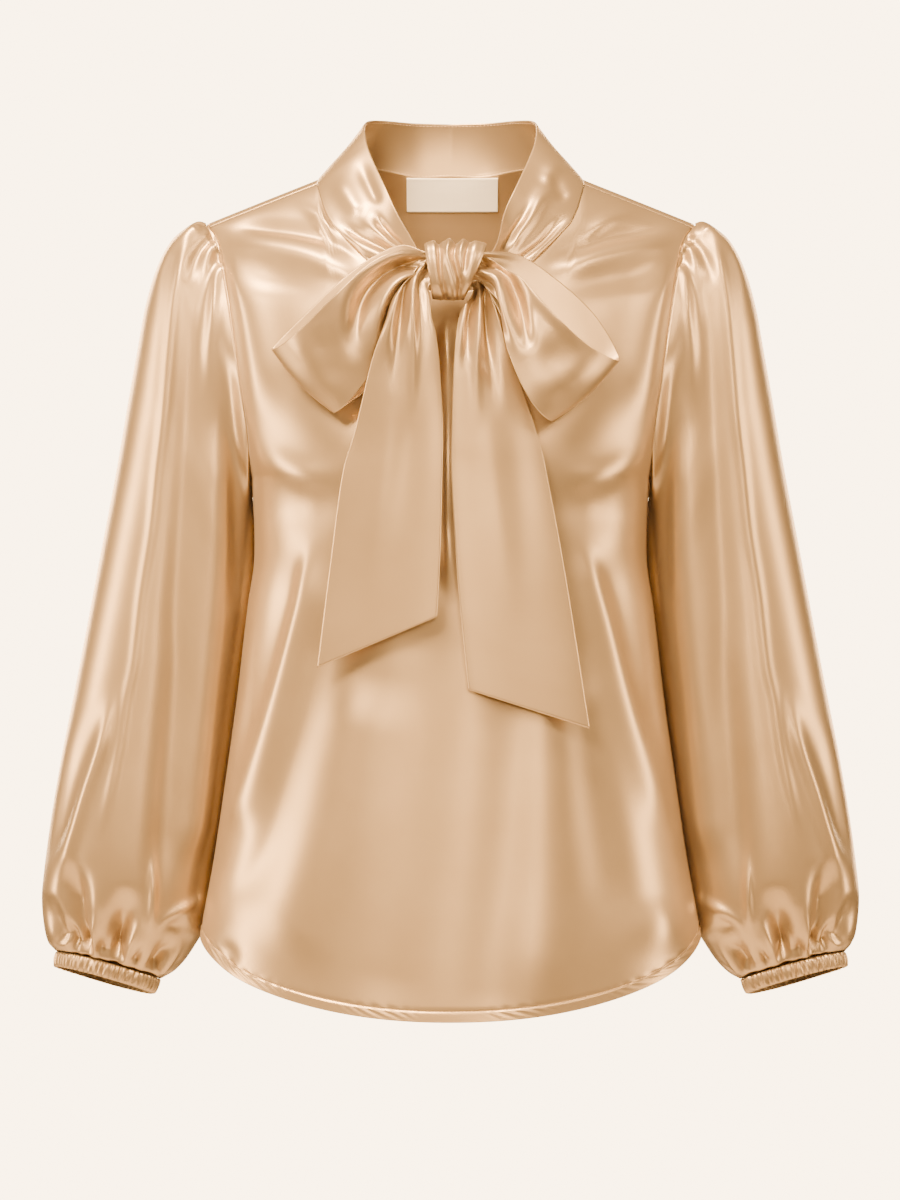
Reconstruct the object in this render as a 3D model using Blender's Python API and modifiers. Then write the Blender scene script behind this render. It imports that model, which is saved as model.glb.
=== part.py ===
"""A blouse with a tied neck, filled out as it is when worn.

Metres, +Z up. The front faces -Y and +X is the viewer's right. The origin is in
the middle of the neck, level with the highest points of the shoulders.
Each cut piece is one open sheet of cloth, thickened inward by Solidify. A sleeve,
really one piece, is four panels.
"""
import math

import bpy
from mathutils import Vector

# Driving dimensions, in metres.
MM = 0.001
BODY_WALL = 0.0012          # one layer of satin with its seam allowances
DOUBLE_WALL = 0.0015        # the doubled cloth of the tie
BAND_WALL = 0.0018          # the doubled and interfaced neck band
CUFF_WALL = 0.0020          # doubled cloth round its elastic
LABEL_WALL = 0.0010
SEAM_GAP = 0.0008           # air between two sewn pieces, across their outer faces
ARMHOLE_GAP = 0.0011        # air between the body's armhole and the sleeve
SHOULDER_X = 0.194          # half the width from shoulder seam end to seam end
RIDGE_Z = 0.002             # the shoulder line beside the neck
SHOULDER_Z = -0.0335        # the shoulder line at the sleeve
UNDERARM_Z = -0.237
HEM_CENTRE_Z = -0.662
HEM_RISE = (0.045, 0.015)   # the hem's rise at the side seam: its long curve and its corner
NECK_POINT = 0.54           # where the neck meets the shoulder, as a share of the half width
SEAM_TURN = math.radians(16)        # how far before the ridge the shoulder seam lies
SEAM_HALF_TURN = math.radians(0.6)  # half the gap along that seam
ROUND_TOP = (0.085, 0.070)  # height over which the shoulder rounds off, at neck and sleeve
ARMHOLE_FILL = 0.47         # depth of the armhole against the depth of the body
ARMHOLE_FLAT = 0.100        # height above the underarm where the armhole starts to close
BODY_POWER = 2.3            # how square the body's cross-section is
LABEL_SIZE = (0.074, 0.027)
LABEL_CENTRE_X = 0.0015
LABEL_TOP_Z = 0.0080
LABEL_AIR = 0.0024
CUFF_DROP = 0.16            # how far the cuffs' far side hangs lower, per unit of depth
BAND_GAP = 0.0010           # air between the neckline and the neck band
BAND_BULGE = 0.0025         # how far the neck band rounds out between its edges
LOOP_BULGE = 0.004          # how far a bow loop's front layer rounds out

# Shares of the half width where the front and back have a column of points.
COLUMNS = (0, 0.15, 0.30, 0.43, 0.505, NECK_POINT, 0.68, 0.81, 0.91, 0.975, 1)
FRONT_TOP_ROWS = 11
BACK_TOP_ROWS = 13
BODY_ROWS = 8
STRIP_COLUMNS = 4           # across a loop or a tail
KNOT_AROUND = 20
KNOT_ALONG = 4
LABEL_COLUMNS = 6
LABEL_ROWS = 2

# height, half width of the body (the armhole above the underarm), in millimetres
SIDE_LINE = (
    (-662, 204), (-605, 200.5), (-542, 189.5), (-471, 179), (-413, 171), (-340, 162.5),
    (-300, 157), (-237, 159), (-200, 161), (-160, 167), (-115, 173), (-85, 177.5),
    (-60, 182), (-45, 187), (-34, 194), (80, 194),
)
# height, front depth, back depth, in millimetres
DEPTHS = (
    (-662, 126, 115), (-450, 116, 100), (-300, 113, 92), (-235, 118, 98), (-200, 115, 100),
    (-160, 105, 98), (-120, 93, 93), (-80, 80, 86), (-50, 68, 79), (-20, 57, 72),
    (10, 50, 66), (70, 44, 60),
)
# share of the half width, height of the front neckline in millimetres
FRONT_NECKLINE = ((0, -95), (0.15, -89), (0.30, -75.5), (0.43, -52.5), (0.505, -27), (0.54, -3))
# share of the half width, turn before the ridge in degrees, ridge height in millimetres
BACK_NECKLINE = (
    (0, 52, 70), (0.15, 50, 64), (0.30, 39, 46), (0.43, 24.5, 22.5), (0.505, 8.5, 7.5),
    (0.54, -16, 2),
)
# outer side x, y, z; inner side x, y, z; half depth of each ring of a sleeve, in
# millimetres, from the armhole down to the cuff
SLEEVE_RINGS = (
    (202.7, 2, -31.5, 160.0, 8, -249.0, 48),
    (212.4, 4, -37.0, 158.6, 20, -265.0, 50.5),
    (224.5, 7, -48.3, 157.0, 28, -281.0, 53),
    (235.8, 10, -70.0, 156.4, 33, -300.0, 55),
    (244.6, 14, -99.0, 157.0, 35, -318.0, 57),
    (251.1, 18, -132.9, 159.0, 35, -336.0, 58.5),
    (259.1, 24, -175.6, 161.5, 35, -354.0, 60),
    (268.8, 29, -230.4, 165.5, 35, -382.0, 61),
    (280.9, 33, -292.5, 171.0, 35, -418.0, 62),
    (292.2, 34, -352.1, 177.5, 35, -463.0, 62),
    (302.7, 34, -406.9, 184.0, 35, -507.0, 62),
    (313.1, 34, -459.3, 189.5, 35, -543.0, 62),
    (322.0, 34, -512.0, 195.5, 35, -580.0, 61),
    (327.6, 34, -554.4, 200.5, 35, -602.0, 58),
    (329.3, 34, -576.0, 206.5, 35, -613.0, 54),
    (327.6, 34, -597.2, 214.8, 34, -625.0, 47),
    (324.4, 34, -610.5, 224.5, 34, -634.5, 38),
    (318.5, 34, -617.5, 233.5, 34, -639.5, 30),
)
RINGS_TILTED = 6            # rings above the cuff that take up its drop
ELBOW_RING = 9              # the row where a sleeve's upper and lower panels meet
PANEL_GAP = 0.0005          # air between a sleeve's upper and lower panels
PANEL_HALF_TURN = 0.005     # half the gap between its front and back panels, in radians
# the same for a cuff
CUFF_RINGS = (
    (318.4, 34, -618.2, 233.5, 34, -640.2, 29.5),
    (320.3, 34, -624.5, 235.5, 34, -646.3, 30.5),
    (320.3, 34, -630.5, 238.5, 34, -652.0, 29),
)
# top edge of the neck band x, y, z in millimetres, beside each seam point from the middle
# of the back to the front
BAND_TOP = (
    (0, 61, 52), (30, 57, 52.5), (53, 43, 53), (66, 22, 50), (68.5, 6, 42), (66, -10, 28),
    (60, -26, 12), (52, -44, -6), (42, -64, -29),
)
# distance beyond the knot's end, then y, z of the band's base and top edges, in millimetres
BAND_ENDS = (
    (15, -93, -84, 8, -95, -54.5),
    (5.5, -108.5, -88, 3, -108.5, -66),
    (-5, -108.5, -87, -6, -108.5, -67),
)
KNOT_CENTRE = Vector((0, -0.118, -0.079))
KNOT_HALF_DEPTH = 0.0155
KNOT_HALF_HEIGHT = 0.0205
KNOT_POWER = 2.6
KNOT_BULGE = 0.0012
# height, x of the knot's left end, x of its right end, in millimetres
KNOT_ENDS = ((-100, -14.5, 11.5), (-90, -16, 16), (-80, -17.5, 20.5), (-70, -19, 24.5), (-59, -20.5, 28))
# Loops: x, y, z of the upper edge, then of the lower edge, in millimetres. The rows run
# from the knot along the front layer to the tip, and back along the hidden layer.
LOOP_LEFT = (
    (-13, -122, -67, -11, -122, -87), (-21, -123, -65, -18, -122.5, -88),
    (-39, -134, -64, -30, -127, -102), (-62, -140, -74, -41, -129, -121),
    (-89, -142, -99, -51, -130, -145), (-116, -130, -125, -68, -130, -168),
    (-131, -116, -136, -82, -127, -184), (-139, -104, -139, -90, -120, -189),
    (-132, -101, -130, -84, -117, -185), (-117, -101, -115, -76, -116, -180),
    (-90, -102, -89, -62, -116, -168), (-63, -102, -68, -46, -116, -146),
    (-39, -106, -58, -31, -115, -115), (-22, -113.5, -63, -18.5, -114.5, -88),
    (-13, -115, -66, -11, -115, -87),
)
LOOP_RIGHT = (
    (17, -125.5, -70, 12.5, -125.5, -86), (28, -125.5, -69.5, 22, -126, -87),
    (42, -134, -78, 32, -135, -101), (56, -140, -89, 38, -141, -117),
    (81, -146, -117, 45, -146, -144), (108, -138, -139, 57, -148, -173),
    (125, -124, -147, 69, -144, -190), (131, -112, -147, 78, -135, -196),
    (126, -105, -133, 73, -129, -189), (109, -102, -108, 62, -128, -164),
    (81, -102, -83, 46, -127, -129), (54, -107, -66, 34, -122.5, -103),
    (30, -117, -64, 23.5, -119, -88), (17, -119, -66, 12.5, -119, -87),
)
# Tails: x, y, z of the left edge, then of the right edge, in millimetres, knot to end
TAIL_LEFT = (
    (-13, -127, -71, -10.5, -127, -87), (-21, -128, -72, -17, -128, -91),
    (-31, -136, -85, -15.3, -131, -101), (-44, -140, -100, -14.7, -134, -114),
    (-51, -141, -121, -11, -135, -130), (-61, -138, -150, -8, -135, -157),
    (-74, -131, -203, -6, -134, -202), (-84, -128, -238, -6.5, -133, -240),
    (-94, -124, -311, -8, -131, -300), (-103.5, -122, -387, -10.5, -130, -347.5),
)
TAIL_RIGHT = (
    (9.5, -113, -88, 13.5, -113, -74), (17.5, -114.5, -91.5, 25.5, -113.5, -76),
    (16.5, -119.5, -99, 30, -117.5, -94), (9, -127, -108, 36, -120, -112),
    (4.7, -131, -125, 42, -121, -130), (2.4, -132, -157, 51, -121, -157),
    (0.6, -130, -210, 68, -121, -208), (0.8, -129, -242, 75.5, -120, -240),
    (5.8, -128, -322, 90, -118, -318), (14, -127, -404, 108.4, -116, -434.5),
)


def start_scene():
    """Empty the scene and make the collection that holds the blouse."""
    for thing in list(bpy.data.objects):
        bpy.data.objects.remove(thing, do_unlink=True)
    collection = bpy.data.collections.new("blouse")
    bpy.context.scene.collection.children.link(collection)
    return collection


def make_material(name, colour, roughness):
    """A plain cloth material."""
    material = bpy.data.materials.new(name)
    material.use_nodes = True
    shader = material.node_tree.nodes["Principled BSDF"]
    shader.inputs["Base Color"].default_value = (*colour, 1)
    shader.inputs["Roughness"].default_value = roughness
    shader.inputs["Metallic"].default_value = 0
    return material


def champagne_satin():
    """Smooth champagne satin."""
    return make_material("champagne_satin", (0.68, 0.47, 0.29), 0.34)


def ivory_ribbon():
    """Close woven ivory ribbon."""
    return make_material("ivory_ribbon", (0.80, 0.74, 0.62), 0.7)


def read_table(table, key):
    """The other columns of a table at one key, on a smooth curve through its rows."""
    last = len(table) - 1
    key = min(max(key, table[0][0]), table[last][0])
    row = 0
    while row < last - 1 and key > table[row + 1][0]:
        row += 1
    width = table[row + 1][0] - table[row][0]
    t = (key - table[row][0]) / width
    values = []
    for column in range(1, len(table[0])):
        slopes = []
        for place in (row, row + 1):
            before = table[max(place - 1, 0)]
            after = table[min(place + 1, last)]
            slopes.append((after[column] - before[column]) / (after[0] - before[0]))
        start = table[row][column]
        end = table[row + 1][column]
        values.append(
            start * (1 + 2 * t) * (1 - t) ** 2
            + end * t * t * (3 - 2 * t)
            + width * slopes[0] * t * (1 - t) ** 2
            - width * slopes[1] * t * t * (1 - t)
        )
    return values


def half_width(z):
    """Half the body's width at a height."""
    return read_table(SIDE_LINE, z / MM)[0] * MM


def rounded(share, power):
    """A quarter of a squared circle: 1 at no share, 0 at a full share."""
    return max(1 - share ** power, 0) ** (1 / power)


def body_depth(share, z, ridge_z, side):
    """How far the front (side 0) or back (side 1) lies from the shoulder line."""
    depth = read_table(DEPTHS, z / MM)[side] * MM
    drop = (UNDERARM_Z + ARMHOLE_FLAT - z) / ARMHOLE_FLAT
    fill = ARMHOLE_FILL * math.sqrt(max(1 - max(drop, 0) ** 2, 0))
    if z <= UNDERARM_Z:
        fill = 0
    section = math.hypot(rounded(share, BODY_POWER), fill * share ** 3)
    outside_neck = max((share - NECK_POINT) / (1 - NECK_POINT), 0)
    height = ROUND_TOP[0] + (ROUND_TOP[1] - ROUND_TOP[0]) * outside_neck
    down = min(max(ridge_z - z, 0) / height, 1)
    return depth * section * math.sqrt(1 - (1 - down) ** 2)


def shoulder_line(share):
    """Height of the shoulder line, flat inside the neck."""
    outside_neck = max((share - NECK_POINT) / (1 - NECK_POINT), 0)
    return RIDGE_Z + (SHOULDER_Z - RIDGE_Z) * outside_neck


def hem_height(share):
    """Height of the shirt-tail hem."""
    return HEM_CENTRE_Z + HEM_RISE[0] * share ** 2.2 + HEM_RISE[1] * share ** 12


def height_at_turn(ridge_z, turn):
    """Height after a turn from the ridge (0) to the underarm (pi)."""
    return ridge_z - (ridge_z - UNDERARM_Z) * (1 - math.cos(turn)) / 2


def front_start(share):
    """The turn at which the front begins: at its neckline or its shoulder seam."""
    if share >= NECK_POINT:
        return SEAM_TURN + SEAM_HALF_TURN
    height = read_table(FRONT_NECKLINE, share)[0] * MM
    cosine = 1 - 2 * (RIDGE_Z - height) / (RIDGE_Z - UNDERARM_Z)
    return math.acos(cosine)


def front_point(share, turn, z=None):
    """A point of the front at a signed share of the half width."""
    ridge_z = shoulder_line(abs(share))
    if z is None:
        z = height_at_turn(ridge_z, turn)
    y = -SEAM_GAP / 2 - body_depth(abs(share), z, ridge_z, 0)
    return Vector((share * half_width(z), y, z))


def back_top(share):
    """The turn at which the back begins, and the height it rounds over from."""
    if share >= NECK_POINT:
        return -SEAM_TURN + SEAM_HALF_TURN, shoulder_line(share)
    turn, ridge_z = read_table(BACK_NECKLINE, share)
    return math.radians(turn), ridge_z * MM


def back_point(share, turn, z=None):
    """A point of the back; turns below 0 lie in front of the shoulder line."""
    ridge_z = back_top(abs(share))[1]
    if z is None:
        z = height_at_turn(ridge_z, turn)
    if turn < 0:
        y = -body_depth(abs(share), z, ridge_z, 0)
    else:
        y = SEAM_GAP / 2 + body_depth(abs(share), z, ridge_z, 1)
    return Vector((share * half_width(z), y, z))


def all_columns():
    """The columns from the left side seam to the right."""
    return [-share for share in COLUMNS[:0:-1]] + list(COLUMNS)


def body_rows(point, start, top_rows):
    """Rows of a front or back: down to the underarm, then down to the hem."""
    rows = []
    for step in range(top_rows + 1):
        row = []
        for share in all_columns():
            first = start(abs(share))
            row.append(point(share, first + (math.pi - first) * step / top_rows))
        rows.append(row)
    for step in range(1, BODY_ROWS + 1):
        row = []
        for share in all_columns():
            hem = hem_height(abs(share))
            row.append(point(share, math.pi, UNDERARM_Z + (hem - UNDERARM_Z) * step / BODY_ROWS))
        rows.append(row)
    return rows


def cloth(name, rows, wall, material, collection, closed=False, flip=False):
    """A sheet of cloth through rows of points, thickened inward."""
    count = len(rows[0])
    faces = []
    for row in range(len(rows) - 1):
        for column in range(count if closed else count - 1):
            after = (column + 1) % count
            face = [row * count + column, (row + 1) * count + column,
                    (row + 1) * count + after, row * count + after]
            faces.append(face[::-1] if flip else face)
    mesh = bpy.data.meshes.new(name)
    mesh.from_pydata([point for row in rows for point in row], [], faces)
    mesh.polygons.foreach_set("use_smooth", [True] * len(faces))
    mesh.materials.append(material)
    piece = bpy.data.objects.new(name, mesh)
    collection.objects.link(piece)
    thicken = piece.modifiers.new("wall", "SOLIDIFY")
    thicken.thickness = wall
    thicken.offset = -1
    return piece


def make_front(material, collection):
    """The front, one piece from the neckline and shoulder seams to the hem."""
    rows = body_rows(front_point, front_start, FRONT_TOP_ROWS)
    return cloth("front", rows, BODY_WALL, material, collection)


def make_back(material, collection):
    """The back, which wraps over the shoulder line to the seams in front of it."""
    rows = body_rows(back_point, lambda share: back_top(share)[0], BACK_TOP_ROWS)
    return cloth("back", rows, BODY_WALL, material, collection, flip=True)


def sleeve_turns(half):
    """The turns round half a sleeve (front 1, back -1), from the seam on its outer side."""
    if half > 0:
        first = front_start(1)
        steps = FRONT_TOP_ROWS
    else:
        first = back_top(1)[0]
        steps = BACK_TOP_ROWS
    last = math.pi - PANEL_HALF_TURN
    return [first + (last - first) * step / steps for step in range(steps + 1)]


def ring_row(side, ring, turns, drop):
    """An oval ring through its outer and inner sides, its far side hanging lower."""
    sizes = [size * MM for size in ring]
    outer = Vector(sizes[0:3])
    inner = Vector(sizes[3:6])
    row = []
    for turn in turns:
        place = inner.lerp(outer, (1 + math.cos(turn)) / 2)
        forward = sizes[6] * math.sin(turn)
        row.append(Vector((side * place.x, place.y - forward, place.z + drop * forward)))
    return row


def make_sleeve(name, side, material, collection):
    """A bishop sleeve from the armhole to the cuff, in front and back panels."""
    for word, half, point in (("front", 1, front_point), ("back", -1, back_point)):
        turns = sleeve_turns(half)
        rows = [[point(side, turn) + Vector((side * ARMHOLE_GAP, 0, 0)) for turn in turns]]
        for number, ring in enumerate(SLEEVE_RINGS):
            near_cuff = max(number + 1 + RINGS_TILTED - len(SLEEVE_RINGS), 0) / RINGS_TILTED
            rows.append(ring_row(side, ring, [half * turn for turn in turns], CUFF_DROP * near_cuff))
        lower = [[spot - Vector((0, 0, PANEL_GAP)) for spot in rows[ELBOW_RING]]] + rows[ELBOW_RING + 1:]
        flip = side * half > 0
        panel = name + "_" + word
        cloth(panel + "_upper", rows[:ELBOW_RING + 1], BODY_WALL, material, collection, flip=flip)
        cloth(panel + "_lower", lower, BODY_WALL, material, collection, flip=flip)


def make_cuff(name, side, material, collection):
    """A narrow elastic cuff."""
    turns = sleeve_turns(1) + [-turn for turn in sleeve_turns(-1)[-2:0:-1]]
    rows = [ring_row(side, ring, turns, CUFF_DROP) for ring in CUFF_RINGS]
    return cloth(name, rows, CUFF_WALL, material, collection, closed=True, flip=side > 0)


def neckline_seam():
    """The neckline's points on one side, from the middle of the back to the front."""
    neck_columns = [share for share in COLUMNS if share <= NECK_POINT]
    points = [back_point(share, back_top(share)[0]) for share in neck_columns]
    points += [front_point(share, front_start(share)) for share in neck_columns[-2:1:-1]]
    return points


def knot_end(side, z):
    """The x of the knot's left or right end at a height."""
    return read_table(KNOT_ENDS, z / MM)[0 if side < 0 else 1] * MM


def make_neck_band(material, collection):
    """The neck band, from the knot round the back of the neck to the knot again."""
    halves = {}
    for side in (-1, 1):
        pairs = []
        for seam, top in zip(neckline_seam(), BAND_TOP):
            edge = Vector(top) * MM
            base = seam + (edge - seam).normalized() * BAND_GAP
            pairs.append([Vector((side * point.x, point.y, point.z)) for point in (base, edge)])
        for beyond, base_y, base_z, top_beyond, top_y, top_z in BAND_ENDS:
            base_x = knot_end(side, base_z * MM) + side * beyond * MM
            top_x = knot_end(side, top_z * MM) + side * top_beyond * MM
            base = Vector((base_x, base_y * MM, base_z * MM))
            pairs.append([base, Vector((top_x, top_y * MM, top_z * MM))])
        halves[side] = pairs
    pairs = halves[-1][::-1] + halves[1][1:]
    bases = [base for base, top in pairs]
    tops = [top for base, top in pairs]
    middles = []
    for number, (base, top) in enumerate(pairs):
        along = bases[min(number + 1, len(pairs) - 1)] - bases[max(number - 1, 0)]
        outward = along.cross(top - base).normalized()
        middles.append((base + top) / 2 + outward * BAND_BULGE)
    return cloth("neck_band", [tops, middles, bases], BAND_WALL, material, collection)


def make_knot(material, collection):
    """The turn of cloth round the middle of the bow, open at both ends."""
    rows = []
    for step in range(KNOT_ALONG + 1):
        share = step / KNOT_ALONG
        grow = KNOT_BULGE * math.sin(math.pi * share)
        row = []
        for place in range(KNOT_AROUND):
            turn = 2 * math.pi * place / KNOT_AROUND
            cosine = math.cos(turn)
            sine = math.sin(turn)
            radius = (abs(cosine) ** KNOT_POWER + abs(sine) ** KNOT_POWER) ** (-1 / KNOT_POWER)
            y = KNOT_CENTRE.y - (KNOT_HALF_DEPTH + grow) * radius * cosine
            z = KNOT_CENTRE.z + (KNOT_HALF_HEIGHT + grow) * radius * sine
            x = knot_end(-1, z) * (1 - share) + knot_end(1, z) * share
            row.append(Vector((x, y, z)))
        rows.append(row)
    return cloth("bow_knot", rows, CUFF_WALL, material, collection, closed=True, flip=True)


def strip_rows(edges, bulge):
    """Rows of a strip between two edges, bulged along its outer face."""
    firsts = [Vector(edge[:3]) * MM for edge in edges]
    seconds = [Vector(edge[3:]) * MM for edge in edges]
    last = len(edges) - 1
    rows = []
    for number, (first, second) in enumerate(zip(firsts, seconds)):
        along = (firsts[min(number + 1, last)] + seconds[min(number + 1, last)]
                 - firsts[max(number - 1, 0)] - seconds[max(number - 1, 0)])
        outward = along.cross(second - first).normalized()
        open_share = math.sin(math.pi * number / last)
        row = []
        for step in range(STRIP_COLUMNS + 1):
            share = step / STRIP_COLUMNS
            lift = bulge * open_share * math.sin(math.pi * share)
            row.append(first.lerp(second, share) + outward * lift)
        rows.append(row)
    return rows


def make_loop(name, side, edges, material, collection):
    """A bow loop: one strip out along the front, round the tip and back."""
    rows = strip_rows(edges, -side * LOOP_BULGE)
    return cloth(name, rows, DOUBLE_WALL, material, collection, flip=side < 0)


def make_tail(name, edges, material, collection):
    """A hanging tie end with a slanted cut."""
    rows = strip_rows(edges, 0)
    return cloth(name, rows, DOUBLE_WALL, material, collection)


def make_label(material, collection):
    """The small woven label inside the back neck, with nothing on it."""
    rows = []
    for step in range(LABEL_ROWS + 1):
        z = LABEL_TOP_Z - LABEL_SIZE[1] * step / LABEL_ROWS
        row = []
        for place in range(LABEL_COLUMNS + 1):
            x = LABEL_CENTRE_X + LABEL_SIZE[0] * (place / LABEL_COLUMNS - 0.5)
            point = back_point(x / SHOULDER_X, math.pi, z)
            row.append(Vector((x, point.y - BODY_WALL - LABEL_AIR, z)))
        rows.append(row)
    return cloth("neck_label", rows, LABEL_WALL, material, collection, flip=True)


def main():
    collection = start_scene()
    satin = champagne_satin()
    make_front(satin, collection)
    make_back(satin, collection)
    for word, side in (("left", -1), ("right", 1)):
        make_sleeve("sleeve_" + word, side, satin, collection)
        make_cuff("cuff_" + word, side, satin, collection)
    make_neck_band(satin, collection)
    make_knot(satin, collection)
    make_loop("bow_loop_left", -1, LOOP_LEFT, satin, collection)
    make_loop("bow_loop_right", 1, LOOP_RIGHT, satin, collection)
    make_tail("tie_tail_left", TAIL_LEFT, satin, collection)
    make_tail("tie_tail_right", TAIL_RIGHT, satin, collection)
    make_label(ivory_ribbon(), collection)


main()
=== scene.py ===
import math

import bpy
import numpy as np
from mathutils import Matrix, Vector


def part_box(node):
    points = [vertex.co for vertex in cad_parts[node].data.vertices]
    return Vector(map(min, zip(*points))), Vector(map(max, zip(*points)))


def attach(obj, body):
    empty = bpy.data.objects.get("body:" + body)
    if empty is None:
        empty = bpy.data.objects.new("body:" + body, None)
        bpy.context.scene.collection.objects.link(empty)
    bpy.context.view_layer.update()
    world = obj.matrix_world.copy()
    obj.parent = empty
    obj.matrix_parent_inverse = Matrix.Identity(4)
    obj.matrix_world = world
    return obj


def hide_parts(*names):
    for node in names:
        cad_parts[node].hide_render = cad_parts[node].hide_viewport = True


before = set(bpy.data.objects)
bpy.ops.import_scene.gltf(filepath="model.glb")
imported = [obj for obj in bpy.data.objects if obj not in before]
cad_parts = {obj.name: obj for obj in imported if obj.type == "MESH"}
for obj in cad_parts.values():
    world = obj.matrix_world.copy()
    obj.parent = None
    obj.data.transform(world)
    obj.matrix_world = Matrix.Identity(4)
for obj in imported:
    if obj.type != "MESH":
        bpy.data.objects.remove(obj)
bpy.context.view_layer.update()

# ----------------------------------------
# Front: one cut piece of polyester satin, from the neckline and the shoulder
# seams to a curved shirt-tail hem. The cloth hangs from the shoulders and the
# bust in long soft folds that widen towards the hem.

MM = 0.001
SATIN_THICKNESS = 0.0005
FRONT_COLUMNS = 162
FRONT_ROWS = (36, 60, 134, 20)  # over the shoulder, to the underarm, to the hem turn, the hem turn
FRONT_TOP_ROWS = 8  # rows in which the creases die out at the top edge
FRONT_CREASE_FADES = (45, 45)
SIDE_CROWDING = 0.38  # how much closer the columns lie at the sides than in the middle
SIDE_FADE = 0.012  # width in which the creases die out at a side edge
LEAST_TURN = 0.25  # least turn over the shoulder, in radians
HEM_TURN = 0.010
STITCH_UP = 0.0085  # height of the hem stitches above the edge
HEM_GROOVE = 0.0005
GROOVE_WIDTH = 0.0009
HEM_DOUBLING = 0.0004
HEM_PUCKER = 0.00035
PUCKER_SPACING = 0.0080
PUCKER_SLANT = 0.005
PUCKER_HEIGHT = 0.005
SEAM_GAP = 0.0008
SHOULDER_X = 0.194
RIDGE_Z = 0.002
SHOULDER_Z = -0.0335
UNDERARM_Z = -0.237
HEM_CENTRE_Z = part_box("front")[0][2]
HEM_CURVE = (0.045, 2.2)  # rise at the side, and the power of the share that it follows
HEM_CORNER = (0.015, 12)
NECK_POINT = 0.54
SEAM_TURN = math.radians(16)
SEAM_HALF_TURN = math.radians(0.3)
ROUND_TOP = (0.085, 0.070)
ARMHOLE_FILL = 0.47
ARMHOLE_FLAT = 0.100
BODY_POWER = 2.3
# height, half width of the body (the armhole above the underarm), in millimetres
SIDE_LINE = (
    (-662, 204), (-605, 200.5), (-542, 189.5), (-471, 179), (-413, 171), (-340, 162.5),
    (-300, 157), (-237, 159), (-200, 161), (-160, 167), (-115, 173), (-85, 177.5),
    (-60, 182), (-45, 187), (-34, 194), (80, 194),
)
# height, front depth, back depth, in millimetres
DEPTHS = (
    (-662, 126, 115), (-450, 116, 100), (-300, 113, 92), (-235, 118, 98), (-200, 115, 100),
    (-160, 105, 98), (-120, 93, 93), (-80, 80, 86), (-50, 68, 79), (-20, 57, 72),
    (10, 50, 66), (70, 44, 60),
)
# share of the half width, height of the front neckline in millimetres
FRONT_NECKLINE = ((0, -95), (0.15, -89), (0.30, -75.5), (0.43, -52.5), (0.505, -27), (0.54, -3))
# Creases: height, width on the first side, width on the second side, then x, z along it.
# The first side is the left one of a path that runs down. All in millimetres.
FRONT_CREASES = (
    (5.0, 8, 12, (-106, -280), (-117, -334), (-130, -386), (-145, -438), (-161, -485), (-176, -520)),
    (-5, 16, 10, (-122, -290), (-132, -335), (-147, -386), (-163, -430), (-176, -462)),
    (-3.5, 13, 20, (-96, -330), (-108, -400), (-124, -460), (-146, -530), (-176, -582)),
    (3.2, 26, 30, (-62, -390), (-76, -450), (-92, -520), (-116, -575), (-140, -614)),
    (-2.4, 28, 26, (-16, -330), (-22, -420), (-30, -506), (-42, -584), (-56, -670)),
    (-2.4, 24, 20, (54, -380), (48, -470), (42, -540), (34, -600), (28, -690)),
    (2.8, 26, 24, (84, -370), (82, -440), (80, -506), (78, -568), (64, -670)),
    (-3.2, 20, 18, (98, -400), (106, -450), (116, -510), (134, -610)),
    (3.6, 12, 9, (100, -285), (112, -322), (124, -362), (138, -412), (156, -470), (172, -520)),
    (-4.5, 12, 16, (122, -290), (138, -342), (154, -405), (174, -462)),
    (4, 20, 16, (160, -560), (170, -620)),
    (3.5, 9, 16, (-184, -56), (-164, -92), (-154, -139), (-146, -205)),
    (3, 16, 9, (184, -60), (164, -96), (154, -142), (146, -208)),
    (3.2, 4, 5, (-128, -18), (-112, -26), (-98, -38), (-88, -50), (-78, -60)),
    (-4.5, 5, 8, (-182, -36), (-156, -38), (-121, -43), (-90, -52), (-66, -69)),
    (4.5, 8, 9, (-184, -50), (-156, -54), (-118, -62), (-84, -76), (-66, -86)),
    (-3.5, 10, 12, (-178, -76), (-150, -80), (-120, -84), (-90, -92)),
    (3.0, 5, 4, (160, -22), (132, -31), (114, -42), (100, -56)),
    (-4.5, 8, 5, (180, -38), (155, -42), (126, -48), (97, -60), (68, -72)),
    (4.0, 9, 8, (182, -50), (154, -56), (108, -68), (74, -80)),
    (-3.5, 12, 10, (178, -74), (150, -78), (114, -84), (80, -96)),
    (4, 12, 11, (-166, -190), (-140, -222), (-112, -236), (-80, -238)),
    (-3.5, 14, 20, (-160, -252), (-126, -264), (-95, -264), (-60, -256)),
    (4, 11, 12, (166, -192), (140, -224), (112, -238), (80, -240)),
    (-3.5, 20, 14, (160, -254), (126, -266), (95, -266), (60, -258)),
    (2.5, 5, 6, (-3, -110), (-3, -180), (-3, -330)),
    (-3, 9, 7, (-12, -110), (-14, -200), (-16, -330)),
    (3, 6, 7, (-2, -270), (0, -300), (2, -340)),
    (-3, 9, 8, (-186, -600), (-176, -612), (-164, -622)),
)


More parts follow.
